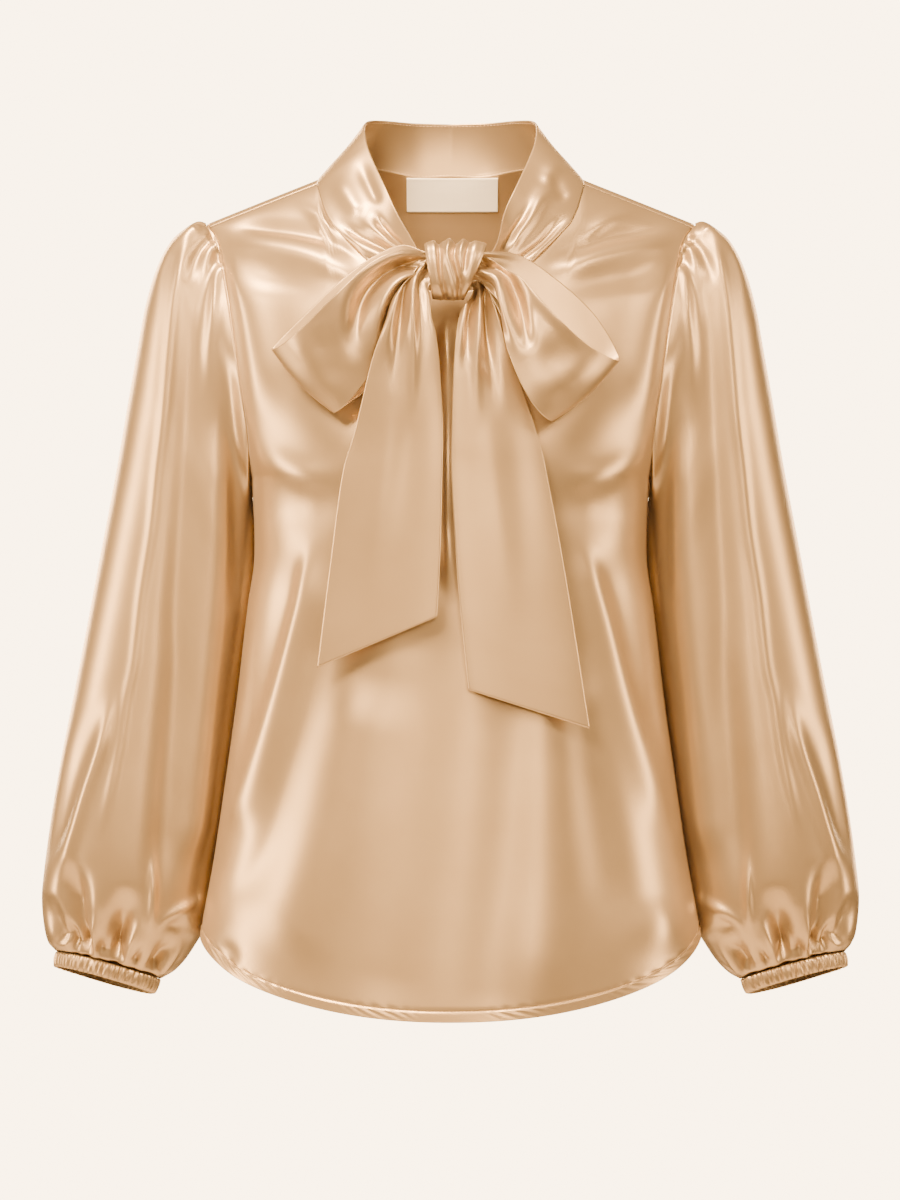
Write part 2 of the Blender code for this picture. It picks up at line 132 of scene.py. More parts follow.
def read_table(table, keys):
    """Smooth values of a table's other columns at many keys."""
    rows = np.array(table, float)
    places = rows[:, 0]
    keys = np.clip(keys, places[0], places[-1])
    row = np.clip(np.searchsorted(places, keys, side="right") - 1, 0, len(rows) - 2)
    before = np.maximum(np.arange(len(rows)) - 1, 0)
    after = np.minimum(np.arange(len(rows)) + 1, len(rows) - 1)
    slopes = (rows[after, 1:] - rows[before, 1:]) / (places[after] - places[before])[:, None]
    width = places[row + 1] - places[row]
    t = ((keys - places[row]) / width)[..., None]
    width = width[..., None]
    return (rows[row, 1:] * (1 + 2 * t) * (1 - t) ** 2 + rows[row + 1, 1:] * t * t * (3 - 2 * t)
            + width * slopes[row] * t * (1 - t) ** 2 - width * slopes[row + 1] * t * t * (1 - t))


def ease(value):
    """0 below 0, 1 above 1, and smooth between."""
    value = np.clip(value, 0, 1)
    return value * value * (3 - 2 * value)


def outside_neck(share):
    """0 at the neck and inside it, 1 at the shoulder point."""
    return np.maximum((share - NECK_POINT) / (1 - NECK_POINT), 0)


def body_depth(share, z, ridge_z, side):
    """How far the front (side 0) or back (side 1) lies from the shoulder line."""
    depth = read_table(DEPTHS, z / MM)[..., side] * MM
    drop = np.maximum((UNDERARM_Z + ARMHOLE_FLAT - z) / ARMHOLE_FLAT, 0)
    fill = ARMHOLE_FILL * np.sqrt(np.maximum(1 - drop ** 2, 0))
    rounded = np.maximum(1 - share ** BODY_POWER, 0) ** (1 / BODY_POWER)
    section = np.hypot(rounded, fill * share ** 3)
    height = ROUND_TOP[0] + (ROUND_TOP[1] - ROUND_TOP[0]) * outside_neck(share)
    down = np.clip((ridge_z - z) / height, 0, 1)
    return depth * section * np.sqrt(1 - (1 - down) ** 2)


def shoulder_line(share):
    """Height of the shoulder line, flat inside the neck."""
    return RIDGE_Z + (SHOULDER_Z - RIDGE_Z) * outside_neck(share)


def hem_height(share):
    """Height of the shirt-tail hem."""
    return HEM_CENTRE_Z + HEM_CURVE[0] * share ** HEM_CURVE[1] + HEM_CORNER[0] * share ** HEM_CORNER[1]


def front_start(share):
    """The turn at which the front begins: at its neckline or its shoulder seam."""
    height = read_table(FRONT_NECKLINE, share)[..., 0] * MM
    turn = np.arccos(np.clip(1 - 2 * (RIDGE_Z - height) / (RIDGE_Z - UNDERARM_Z), -1, 1))
    return np.where(share < NECK_POINT, turn, SEAM_TURN + SEAM_HALF_TURN)


def front_point(share, turn, z=None):
    """Points of the front at signed shares of the half width."""
    ridge_z = shoulder_line(np.abs(share))
    if z is None:
        z = ridge_z - (ridge_z - UNDERARM_Z) * (1 - np.cos(turn)) / 2
    y = -SEAM_GAP / 2 - body_depth(np.abs(share), z, ridge_z, 0)
    half_width = read_table(SIDE_LINE, z / MM)[..., 0] * MM
    return np.stack([share * half_width, y, z], axis=-1)


def body_grid(point, start, columns, rows):
    """Rows of points of a front or back, from its top edge to its hem."""
    t = np.linspace(-1, 1, columns)
    share = (1 - SIDE_CROWDING) * t + SIDE_CROWDING * np.sin(t * math.pi / 2)
    first = start(np.abs(share))
    quarter = np.maximum(first + LEAST_TURN, math.pi / 2)
    behind = np.full(columns, math.pi)
    grid = [point(share, first + (quarter - first) * step) for step in np.arange(rows[0]) / rows[0]]
    hem = hem_height(np.abs(share))
    levels = (point(share, quarter)[:, 2], UNDERARM_Z, hem + HEM_TURN, hem)
    for count, above, below in zip(rows[1:], levels, levels[1:]):
        for step in np.arange(count) / count:
            grid.append(point(share, behind, above + (below - above) * step))
    grid.append(point(share, behind, hem))
    return share, np.array(grid)


def unit(vectors):
    """Vectors brought to length 1."""
    return vectors / np.maximum(np.linalg.norm(vectors, axis=-1, keepdims=True), 1e-9)


def outward(points, closed=False):
    """Unit normals of a grid of points, from its rows and columns."""
    down = np.gradient(points, axis=0)
    if closed:
        wide = np.concatenate([points[:, -1:], points, points[:, :1]], axis=1)
        across = np.gradient(wide, axis=1)[:, 1:-1]
    else:
        across = np.gradient(points, axis=1)
    return unit(np.cross(down, across))


def smooth_path(places, steps=6):
    """A smooth line through a crease's places."""
    last = len(places) - 1
    table = np.column_stack([np.arange(last + 1), places])
    return read_table(table, np.linspace(0, last, last * steps + 1))


def crease_heights(first, second, creases, fades, spread=0):
    """Heights of soft ridges and troughs at places given by two coordinates in metres.
    Each fades in and out over lengths in millimetres, and grows wider along it by a share."""
    total = np.zeros(first.shape)
    first = first / MM
    second = second / MM
    for height, left, right, *places in creases:
        path = smooth_path(places)
        length = np.linalg.norm(np.diff(path, axis=0), axis=1).sum()
        reach = 3 * max(left, right) * max(1, 1 + spread)
        near = ((first > path[:, 0].min() - reach) & (first < path[:, 0].max() + reach)
                & (second > path[:, 1].min() - reach) & (second < path[:, 1].max() + reach))
        if not near.any():
            continue
        a = first[near]
        b = second[near]
        best = np.full(a.shape, 1e9)
        along = np.zeros(a.shape)
        side = np.zeros(a.shape)
        count = len(path) - 1
        for step in range(count):
            start = path[step]
            run = path[step + 1] - start
            t = np.clip(((a - start[0]) * run[0] + (b - start[1]) * run[1]) / (run @ run), 0, 1)
            off_a = a - start[0] - t * run[0]
            off_b = b - start[1] - t * run[1]
            distance = np.hypot(off_a, off_b)
            closer = distance < best
            best = np.where(closer, distance, best)
            along = np.where(closer, (step + t) / count, along)
            side = np.where(closer, run[0] * off_b - run[1] * off_a, side)
        width = np.where(side < 0, left, right) * (1 + spread * along)
        shape = np.exp(-(best / width) ** 2)
        ends = (ease(along * length / min(fades[0], length / 2))
                * ease((1 - along) * length / min(fades[1], length / 2)))
        total[near] += height * MM * shape * ends
    return total


def turned_hem(share, base):
    """Heights of the stitched hem: a groove under the stitches, the doubled cloth below
    it, and the small slanting puckers that the stitches pull."""
    above = base[..., 2] - hem_height(np.abs(share))
    groove = -HEM_GROOVE * np.exp(-((above - STITCH_UP) / GROOVE_WIDTH) ** 2)
    doubled = HEM_DOUBLING * ease((STITCH_UP - above) / MM)
    uneven = 0.9 * np.sin(base[..., 0] / (17 * MM))
    wave = base[..., 0] / PUCKER_SPACING + uneven + above / PUCKER_SLANT
    beside = np.exp(-((above - STITCH_UP + MM) / PUCKER_HEIGHT) ** 2)
    return groove + doubled + HEM_PUCKER * np.sin(2 * math.pi * wave) * beside


def body_lift(share, base, creases, fades, top_rows):
    """Heights of a front's or back's creases, and of its stitched hem."""
    side_fade = ease((1 - np.abs(share)) * SHOULDER_X / SIDE_FADE)[None, :]
    top_fade = ease(np.arange(len(base)) / top_rows)[:, None]
    lift = crease_heights(base[..., 0], base[..., 2], creases, fades) * side_fade * top_fade
    return lift + turned_hem(share, base)


def put(name, data):
    """An object for a mesh, a lamp or the camera, placed in the scene."""
    placed = bpy.data.objects.new(name, data)
    bpy.context.scene.collection.objects.link(placed)
    return placed


def running_total(steps):
    """Lengths from the start to each place along a row of steps."""
    return np.concatenate([[0], np.cumsum(steps)])


def corners(grid):
    """The four corners of each face between the rows and columns of a grid."""
    return np.stack([grid[:-1, :-1], grid[1:, :-1], grid[1:, 1:], grid[:-1, 1:]], axis=2)


def cloth(name, points, closed=False, thickness=SATIN_THICKNESS, material=None):
    """A thin sheet of cloth over a grid of points, with its cloth coordinates in metres."""
    numbers = np.arange(points[..., 0].size).reshape(points.shape[:2])
    wide = points
    if closed:
        numbers = np.concatenate([numbers, numbers[:, :1]], axis=1)
        wide = np.concatenate([points, points[:, :1]], axis=1)
    faces = corners(numbers).reshape(-1, 4)
    mesh = bpy.data.meshes.new(name)
    mesh.vertices.add(points[..., 0].size)
    mesh.vertices.foreach_set("co", points.reshape(-1))
    mesh.loops.add(faces.size)
    mesh.loops.foreach_set("vertex_index", faces.reshape(-1))
    mesh.polygons.add(len(faces))
    mesh.polygons.foreach_set("loop_start", np.arange(len(faces)) * 4)
    mesh.update(calc_edges=True)
    mesh.polygons.foreach_set("use_smooth", np.ones(len(faces), bool))
    u = running_total(np.linalg.norm(np.diff(wide, axis=1), axis=-1).mean(axis=0))
    v = running_total(np.linalg.norm(np.diff(points, axis=0), axis=-1).mean(axis=1))
    uv = corners(np.stack(np.meshgrid(u, v), axis=-1))
    mesh.uv_layers.new(name="cloth").data.foreach_set("uv", uv.reshape(-1))
    mesh.materials.append(material)
    piece = put(name, mesh)
    if thickness:
        wall = piece.modifiers.new("thickness", "SOLIDIFY")
        wall.thickness = thickness
        wall.offset = -1
    return piece


def linear(code):
    """An sRGB hex colour as linear red, green, blue and alpha."""
    parts = [int(code[place:place + 2], 16) / 255 for place in (1, 3, 5)]
    return [part / 12.92 if part <= 0.04045 else ((part + 0.055) / 1.055) ** 2.4 for part in parts] + [1]


def add_node(tree, kind, settings=None, links=None):
    """A shader node with its settings, and with links into its sockets."""
    node = tree.nodes.new(kind)
    for key, value in (settings or {}).items():
        if key in node.inputs:
            node.inputs[key].default_value = value
        else:
            setattr(node, key, value)
    for key, source in (links or {}).items():
        tree.links.new(source, node.inputs[key])
    return node


def empty_material(name):
    """A new material, and its node tree with no nodes."""
    material = bpy.data.materials.new(name)
    material.use_nodes = True
    material.node_tree.nodes.clear()
    return material, material.node_tree


FLOAT_SIZE = (0.714, 8.33)  # a warp float's width and length in millimetres, about three times the real
CLOUD_SIZE = 71.4  # width in millimetres of the faint patches where the dye took unevenly


def polyester_satin():
    """Champagne charmeuse: long warp floats give a smooth, pearly face with soft broad
    highlights; its weave is finer than a millimetre, so it is drawn about three times coarser."""
    material, tree = empty_material("polyester_satin_champagne")
    place = add_node(tree, "ShaderNodeUVMap", {"uv_map": "cloth"}).outputs["UV"]
    patches = add_node(tree, "ShaderNodeTexNoise", {
        "Scale": 1 / (CLOUD_SIZE * MM), "Detail": 3, "Roughness": 0.5,
    }, {"Vector": place}).outputs["Fac"]
    tint = add_node(tree, "ShaderNodeValToRGB", None, {"Fac": patches})
    tint.color_ramp.elements[0].position = 0.3
    tint.color_ramp.elements[0].color = linear("#B39D7A")
    tint.color_ramp.elements[1].position = 0.7
    tint.color_ramp.elements[1].color = linear("#BBA582")
    stretched = add_node(tree, "ShaderNodeMapping", {
        "Scale": (1 / (FLOAT_SIZE[0] * MM), 1 / (FLOAT_SIZE[1] * MM), 1),
    }, {"Vector": place}).outputs["Vector"]
    floats = add_node(tree, "ShaderNodeTexNoise", {"Scale": 1, "Detail": 2, "Roughness": 0.6},
                      {"Vector": stretched}).outputs["Fac"]
    bump = add_node(tree, "ShaderNodeBump", {"Strength": 0.06, "Distance": 0.0004}, {"Height": floats})
    rough = add_node(tree, "ShaderNodeMapRange", {"To Min": 0.33, "To Max": 0.40},
                     {"Value": floats}).outputs["Result"]
    shader = add_node(tree, "ShaderNodeBsdfPrincipled", {
        "IOR": 1.5, "Metallic": 0.7, "Specular IOR Level": 0.5,
        "Sheen Weight": 0.05, "Sheen Roughness": 0.4,
    }, {"Base Color": tint.outputs["Color"], "Roughness": rough, "Normal": bump.outputs["Normal"]})
    shader.inputs["Sheen Tint"].default_value = linear("#FBEFE0")
    add_node(tree, "ShaderNodeOutputMaterial", None, {"Surface": shader.outputs["BSDF"]})
    return material


WAVE_SPAN = 2 * math.pi / 20  # metres from crest to crest of a wave texture at scale 1
THREAD_TWIST = 0.698  # length in millimetres of one turn of the thread's twist


def polyester_thread():
    """Champagne sewing thread: two plies of bright filament twisted together, so it
    is a little lighter and glossier than the cloth; its twist is a fine wave."""
    material, tree = empty_material("polyester_thread_champagne")
    place = add_node(tree, "ShaderNodeTexCoord").outputs["Object"]
    twist = add_node(tree, "ShaderNodeTexWave", {
        "bands_direction": "DIAGONAL", "Scale": 2 * WAVE_SPAN / (THREAD_TWIST * MM),
    }, {"Vector": place})
    bump = add_node(tree, "ShaderNodeBump", {"Strength": 0.4, "Distance": 0.0001},
                    {"Height": twist.outputs["Fac"]})
    shader = add_node(tree, "ShaderNodeBsdfPrincipled", {
        "Base Color": linear("#E6C79C"), "Roughness": 0.38, "Metallic": 0.2, "Sheen Weight": 0.2,
    }, {"Normal": bump.outputs["Normal"]})
    add_node(tree, "ShaderNodeOutputMaterial", None, {"Surface": shader.outputs["BSDF"]})
    return material


STITCH = 0.0020
STITCH_GAP = 0.0009
THREAD_RADIUS = 0.00024
THREAD_SIDES = 6
STITCH_RINGS = ((0, 0.4), (0.2, 1), (0.8, 1), (1, 0.4))  # share of its length, share of its radius


def stitches(name, path, face, material):
    """A row of machine stitches, each a short bar of thread, along a path on a face."""
    length = running_total(np.linalg.norm(np.diff(path, axis=0), axis=1))
    starts = np.arange(STITCH_GAP, length[-1] - STITCH, STITCH + STITCH_GAP)
    rings = np.array(STITCH_RINGS)
    places = starts[:, None] + rings[:, 0] * STITCH
    spots = np.stack([np.interp(places, length, path[:, axis]) for axis in range(3)], axis=-1)
    out = np.stack([np.interp(places, length, face[:, axis]) for axis in range(3)], axis=-1)
    along = unit(np.gradient(spots, axis=1))
    turn = 2 * math.pi * np.arange(THREAD_SIDES) / THREAD_SIDES
    across = np.cross(along, out)
    ring = np.cos(turn)[:, None] * across[:, :, None] + np.sin(turn)[:, None] * out[:, :, None]
    radius = rings[:, 1][:, None, None] * THREAD_RADIUS
    points = (spots[:, :, None] + ring * radius).reshape(-1, 3)
    sides = np.arange(THREAD_SIDES)
    after = (sides + 1) % THREAD_SIDES
    last_ring = (len(rings) - 1) * THREAD_SIDES
    faces = []
    for first in range(0, len(points), last_ring + THREAD_SIDES):
        faces.append((first + sides[::-1]).tolist())
        faces.append((first + last_ring + sides).tolist())
        for ring_start in range(first, first + last_ring, THREAD_SIDES):
            next_ring = ring_start + THREAD_SIDES
            around = [ring_start + sides, ring_start + after, next_ring + after, next_ring + sides]
            faces.extend(np.stack(around, axis=1).tolist())
    mesh = bpy.data.meshes.new(name)
    mesh.from_pydata(points.tolist(), [], faces)
    mesh.polygons.foreach_set("use_smooth", np.ones(len(faces), bool))
    mesh.materials.append(material)
    return put(name, mesh)


def hem_row(rows):
    """The row of a front or back that its hem stitches follow."""
    return sum(rows[:3]) + round((HEM_TURN - STITCH_UP) / HEM_TURN * rows[3])


satin = polyester_satin()
thread = polyester_thread()
share, front_base = body_grid(front_point, front_start, FRONT_COLUMNS, FRONT_ROWS)
lift = body_lift(share, front_base, FRONT_CREASES, FRONT_CREASE_FADES, FRONT_TOP_ROWS)
front_normal = outward(front_base)
front_points = front_base + front_normal * lift[..., None]
front = cloth("front_satin", front_points, material=satin)
stitch_row = hem_row(FRONT_ROWS)
front_stitches = stitches("front_hem_stitches", front_points[stitch_row], front_normal[stitch_row], thread)
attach(front, "root")
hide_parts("front")
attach(front_stitches, "root")

# ----------------------------------------
# Back: one cut piece that wraps over the shoulders to seams just in front of
# them, in the same satin. It hangs from the shoulder blades in wide folds.

BACK_COLUMNS = 120
BACK_ROWS = (48, 36, 76, 14)
BACK_TOP_ROWS = 12
BACK_CREASE_FADES = (80, 80)
# share of the half width, turn before the ridge in degrees, ridge height in millimetres
BACK_NECKLINE = (
    (0, 52, 70), (0.15, 50, 64), (0.30, 39, 46), (0.43, 24.5, 22.5), (0.505, 8.5, 7.5),
    (0.54, -16, 2),
)
BACK_CREASES = (
    (4.5, 20, 26, (-112, -230), (-126, -380), (-134, -520), (-142, -640)),
    (-4, 26, 22, (-84, -330), (-92, -480), (-104, -650)),
    (3.5, 30, 26, (-42, -400), (-52, -520), (-58, -655)),
    (-2.8, 24, 32, (-8, -210), (-14, -340), (-22, -480), (-26, -560)),
    (3.2, 28, 24, (18, -340), (22, -500), (20, -655)),
    (-4.2, 22, 28, (52, -270), (60, -420), (66, -560), (74, -650)),
    (3.8, 24, 20, (94, -380), (106, -500), (114, -640)),
    (4.0, 18, 24, (130, -260), (146, -400), (158, -600)),
    (-3.2, 14, 18, (-160, -300), (-158, -420), (-166, -560)),
    (2.5, 12, 14, (-176, -90), (-120, -130), (-60, -150)),
    (2.5, 12, 14, (176, -96), (118, -134), (58, -156)),
    (-2.5, 14, 14, (-168, -150), (-110, -180), (-50, -196)),
    (-2.5, 14, 14, (168, -156), (108, -188), (48, -202)),
)


def back_top(share):
    """The turn at which the back begins, and the height it rounds over from."""
    values = read_table(BACK_NECKLINE, share)
    turn = np.where(share < NECK_POINT, np.radians(values[..., 0]), -SEAM_TURN + SEAM_HALF_TURN)
    return turn, np.where(share < NECK_POINT, values[..., 1] * MM, shoulder_line(share))


def back_point(share, turn, z=None):
    """Points of the back; turns below 0 lie in front of the shoulder line."""
    ridge_z = back_top(np.abs(share))[1]
    if z is None:
        z = ridge_z - (ridge_z - UNDERARM_Z) * (1 - np.cos(turn)) / 2
    ahead = -body_depth(np.abs(share), z, ridge_z, 0)
    behind = SEAM_GAP / 2 + body_depth(np.abs(share), z, ridge_z, 1)
    half_width = read_table(SIDE_LINE, z / MM)[..., 0] * MM
    return np.stack([share * half_width, np.where(turn < 0, ahead, behind), z], axis=-1)


share, back_base = body_grid(back_point, lambda share: back_top(share)[0], BACK_COLUMNS, BACK_ROWS)
lift = body_lift(share, back_base, BACK_CREASES, BACK_CREASE_FADES, BACK_TOP_ROWS)
back_normal = -outward(back_base)
back_points = back_base + back_normal * lift[..., None]
back = cloth("back_satin", back_points[:, ::-1], material=satin)
stitch_row = hem_row(BACK_ROWS)
back_stitches = stitches("back_hem_stitches", back_points[stitch_row], back_normal[stitch_row], thread)
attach(back, "root")
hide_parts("back")
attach(back_stitches, "root")

# ----------------------------------------
# Sleeves: long bishop sleeves of the same satin, gathered into the armhole at
# the head and into the cuff, where the cloth blouses over.

SLEEVE_COLUMNS = 216
SLEEVE_ROWS = 196
SLEEVE_CROWDING = 0.35  # how much closer the columns lie in front than behind
SLEEVE_PANELS = ("front_upper", "front_lower", "back_upper", "back_lower")
ARMHOLE_GAP = 0.0001
SEAM_TUCK = 0.0032  # how far the sleeve dips beside the armhole seam
SLEEVE_FULLNESS = 0.74  # below 1, the front and back are flatter than an ellipse
CUFF_DROP = 0.16  # how far the cuff's front lies above its back, as a share of depth
RINGS_TILTED = 6
RINGS_AT_ARMHOLE = 3  # rings over which the round sleeve takes the armhole's shape
RINGS_AT_SEAM = 0.25  # rings over which the creases rise from the armhole seam
RINGS_AT_CUFF = 0.9
CUFF_HOLD = 0.12  # share of the creases' height left where the cuff holds the cloth
FACE_WIDTH = 2.6  # how quickly the front's creases rise from the sleeve's edges
FACE_START = 0.1
# Gathers: turns, spread about each and width in radians, reach in rings, depth in millimetres.
CUFF_GATHERS = (np.arange(-26, 26, 2) * math.pi / 26, (-0.08, 0.08), 0.07, (0.9, 3.4), (2.0, 4.4))
HEAD_GATHERS = (np.zeros(14), (-2.0, 0.2), 0.05, (1.5, 5), (1.0, 3.0))
GATHERS_SHOW = 1.1
# share of the rows, place down the sleeve: the rows crowd at both ends
ROW_PLACES = ((0, 0), (0.18, 3.6), (0.8, 13), (1, 18))
# place down the sleeve; outer side x, y, z; inner side x, y, z; half depth, in millimetres
SLEEVE_RINGS = (
    (0, 195, 1, -33.5, 160.2, 1, -237.5, 46),
    (1, 202.7, 2, -31.5, 160.0, 8, -249.0, 48),
    (2, 212.4, 4, -37.0, 158.6, 20, -265.0, 50.5),
    (3, 224.5, 7, -48.3, 157.0, 28, -281.0, 53),
    (4, 235.8, 10, -70.0, 156.4, 33, -300.0, 55),
    (5, 244.6, 14, -99.0, 157.0, 35, -318.0, 57),
    (6, 251.1, 18, -132.9, 159.0, 35, -336.0, 58.5),
    (7, 259.1, 24, -175.6, 161.5, 35, -354.0, 60),
    (8, 268.8, 29, -230.4, 165.5, 35, -382.0, 61),
    (9, 280.9, 33, -292.5, 171.0, 35, -418.0, 62),
    (10, 292.2, 34, -352.1, 177.5, 35, -463.0, 62),
    (11, 302.7, 34, -406.9, 184.0, 35, -507.0, 62),
    (12, 313.1, 34, -459.3, 189.5, 35, -543.0, 62),
    (13, 322.0, 34, -512.0, 195.5, 35, -580.0, 61),
    (14, 327.6, 34, -554.4, 200.5, 35, -602.0, 58),
    (15, 329.3, 34, -576.0, 206.5, 35, -613.0, 54),
    (16, 327.6, 34, -597.2, 214.8, 34, -625.0, 47),
    (17, 324.4, 34, -610.5, 224.5, 34, -634.5, 38),
    (18, 318.5, 34, -617.5, 233.5, 34, -639.5, 30),
)
LAST_RING = SLEEVE_RINGS[-1][0]
# Creases of the sleeve's front, as for the body; x is counted outward from the middle.
SLEEVE_CREASES = (
    (2.0, 4, 5, (203, -38), (210, -48), (218, -91), (222, -131), (226, -180), (232, -230), (237, -279),
     (245, -330), (251, -384), (257, -413), (263, -453), (271, -492), (279, -526)),
    (2.4, 5, 6, (198, -36), (210, -41), (222, -54), (231, -74), (237, -110)),
    (-3.6, 4, 4, (184, -44), (192, -47), (200, -56), (206, -72), (210, -92)),
    (2.2, 4, 4, (184, -50), (191, -58), (196, -76), (200, -100)),
    (-5, 13, 12, (181, -58), (189, -67), (195, -82), (200, -100), (204, -129), (208, -180), (212, -250),
     (218, -338), (219, -394), (225, -473), (229, -532), (236, -596)),
    (2.8, 4, 5, (179, -68), (186, -76), (188, -92), (189, -110), (192, -143), (192, -185)),
)
# These show on the sleeve's back too.
SLEEVE_SOFT_CREASES = (
    (-3, 7, 7, (178, -130), (175, -180), (172, -243), (171, -302), (172, -350)),
    (4, 12, 12, (184, -190), (184, -263), (186, -330), (193, -414), (198, -494), (206, -548)),
    (5, 6, 8, (266, -400), (276, -446), (290, -486), (304, -528), (316, -566)),
    (-4.5, 12, 9, (282, -420), (300, -466), (312, -515), (320, -550)),
    (4, 3, 4, (240, -608), (237, -570), (236, -530)),
    (4, 4, 6, (240, -610), (226, -590), (206, -577), (190, -570)),
    (-5, 9, 8, (232, -606), (220, -596), (206, -590)),
)
# Hollows in the blousing above the cuff, deepest at their arched tops, then the pleats below.
SLEEVE_HOLLOWS = (
    (-14, 12, 11, (300, -538), (301, -566), (298, -596), (292, -630)),
    (-15, 13, 12, (257, -558), (261, -588), (268, -614), (273, -640)),
    (-7, 8, 7, (323, -566), (318, -590), (308, -612)),
    (-8, 9, 8, (222, -598), (234, -620), (250, -638)),
)
CUFF_PLEATS = (
    (-5, 3, 2.5, (312, -586), (302, -612), (296, -650)),
    (4, 3, 3, (306, -586), (298, -612), (293, -650)),
    (-5, 2.5, 2.5, (296, -590), (291, -616), (289, -650)),
    (4, 3, 4, (286, -584), (286, -610), (285, -650)),
    (-5, 3, 3, (278, -600), (281, -622), (281, -650)),
    (4, 3, 3, (268, -598), (274, -622), (277, -650)),
    (-6, 3, 3, (258, -590), (266, -614), (273, -650)),
    (4, 3, 3, (248, -590), (259, -618), (269, -650)),
    (-6, 3, 3, (242, -606), (254, -628), (264, -650)),
    (4, 3, 3, (232, -606), (246, -630), (259, -650)),
    (-5, 3, 3, (218, -604), (236, -630), (253, -650)),
    (4, 3, 3, (210, -602), (228, -628), (247, -650)),
)


def ring_point(rings, turn, place, side, fullness, tilt):
    """Points round a tube of cloth: turn 0 is its outer side, pi its inner side."""
    sizes = read_table(rings, place) * MM
    outer = sizes[..., 0:3]
    inner = sizes[..., 3:6]
    spot = inner + (outer - inner) * ((1 + np.cos(turn)) / 2)[..., None]
    forward = sizes[..., 6] * np.sign(np.sin(turn)) * np.abs(np.sin(turn)) ** fullness
    return np.stack([side * spot[..., 0], spot[..., 1] - forward, spot[..., 2] + tilt * forward], axis=-1)


def sleeve_point(turn, place, side):
    """Points of a sleeve, whose lower rings tilt to meet the cuff."""
    tilt = CUFF_DROP * np.clip((place - LAST_RING + RINGS_TILTED) / RINGS_TILTED, 0, 1)
    return ring_point(SLEEVE_RINGS, turn, place, side, SLEEVE_FULLNESS, tilt)


def armhole_point(turn, side):
    """Points of the armhole: turns above 0 on the front, below 0 on the back."""
    z = SHOULDER_Z - (SHOULDER_Z - UNDERARM_Z) * (1 - np.cos(turn)) / 2
    one = np.ones(turn.shape)
    ridge_z = one * SHOULDER_Z
    y = np.where(turn > 0, -body_depth(one, z, ridge_z, 0), body_depth(one, z, ridge_z, 1))
    x = side * (read_table(SIDE_LINE, z / MM)[..., 0] * MM + ARMHOLE_GAP)
    return np.stack([x, y, z], axis=-1)


def facing(turn):
    """1 on the sleeve's front, 0 at its sides and on its back."""
    return ease(np.sin(turn) * FACE_WIDTH - FACE_START)


def bump_at(turn, middle, width):
    """A rounded profile round a tube, 1 at its middle turn."""
    off = (turn - middle + math.pi) % (2 * math.pi) - math.pi
    return np.exp(-(off / width) ** 2)


def gathers(turn, away, middles, spread, width, reaches, depths):
    """Heights of uneven gathers that run in from one end of a sleeve, `away` rings from it."""
    total = np.zeros(turn.shape)
    for middle in middles:
        middle = middle + gather_random.uniform(*spread)
        reach = gather_random.uniform(*reaches)
        depth = gather_random.uniform(*depths) * MM
        total -= depth * bump_at(turn, middle, width) * ease((reach - away) / reach)
    return total


sleeve_turns = math.pi - 2 * math.pi * np.arange(SLEEVE_COLUMNS) / SLEEVE_COLUMNS
sleeve_turns = sleeve_turns + SLEEVE_CROWDING * np.cos(sleeve_turns)
gather_random = np.random.default_rng(11)
for word, side in (("left", -1), ("right", 1)):
    place = read_table(ROW_PLACES, np.linspace(0, 1, SLEEVE_ROWS))[..., 0]
    turn, place = np.meshgrid(sleeve_turns, place)
    base = sleeve_point(turn, place, side)
    start = armhole_point(sleeve_turns, side) - sleeve_point(sleeve_turns, np.zeros(SLEEVE_COLUMNS), side)
    base = base + start[None] * (1 - ease(place / RINGS_AT_ARMHOLE))[..., None]
    normal = outward(base, closed=True) * side
    across_front = side * base[..., 0]
    soft_lift = crease_heights(across_front, base[..., 2], SLEEVE_SOFT_CREASES, fades=(50, 50))
    lift = soft_lift
    # each with the lengths in which they fade in and out, and the share by which they widen
    for creases, fades, spread in ((SLEEVE_CREASES, (8, 60), 0), (SLEEVE_HOLLOWS, (40, 8), -0.3),
                                   (CUFF_PLEATS, (30, 4), -0.2)):
        lift = lift + crease_heights(across_front, base[..., 2], creases, fades, spread)
    lift = lift * facing(turn) + soft_lift * facing(-turn)
    # mostly behind, since the pleats in front are placed one by one
    lift = lift + gathers(turn, LAST_RING - place, *CUFF_GATHERS) * (GATHERS_SHOW - facing(turn))
    lift = lift + gathers(turn, place, *HEAD_GATHERS)
    near_cuff = CUFF_HOLD + (1 - CUFF_HOLD) * ease((LAST_RING - place) / RINGS_AT_CUFF)
    lift = lift * ease(place / RINGS_AT_SEAM) * near_cuff
    lift[1] = -SEAM_TUCK
    points = (base + normal * lift[..., None])[:, ::side]
    sleeve = cloth("sleeve_" + word + "_satin", points, closed=True, material=satin)
    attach(sleeve, "root")
    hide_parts(*["sleeve_" + word + "_" + panel for panel in SLEEVE_PANELS])

# ----------------------------------------
# Cuffs: narrow bands of the same satin, doubled over elastic that draws them
# up into fine uneven ribs all the way round.

CUFF_COLUMNS = 702
CUFF_THICKNESS = 0.0030
CUFF_LOFT = 0.0006  # how far the ribs' crowns stand out from the drawn-up band
RIBS = 60
RIB_SPREAD = 0.028  # of a rib's turn, in radians
RIB_SLANT = 0.02
RIB_DEPTH = (1.3, 2.3)
RIB_WIDTH = (0.03, 0.044)
RIB_INSIDE = 0.4  # depth of the ribs inside the cuff, as a share
# outer side x, y, z; inner side x, y, z; half depth, in millimetres
CUFF_RINGS = (
    (0, 318.4, 34, -618.2, 233.5, 34, -640.2, 29.5),
    (1, 320.3, 34, -624.5, 235.5, 34, -646.3, 30.5),
    (2, 320.3, 34, -630.5, 238.5, 34, -652.0, 29),
)
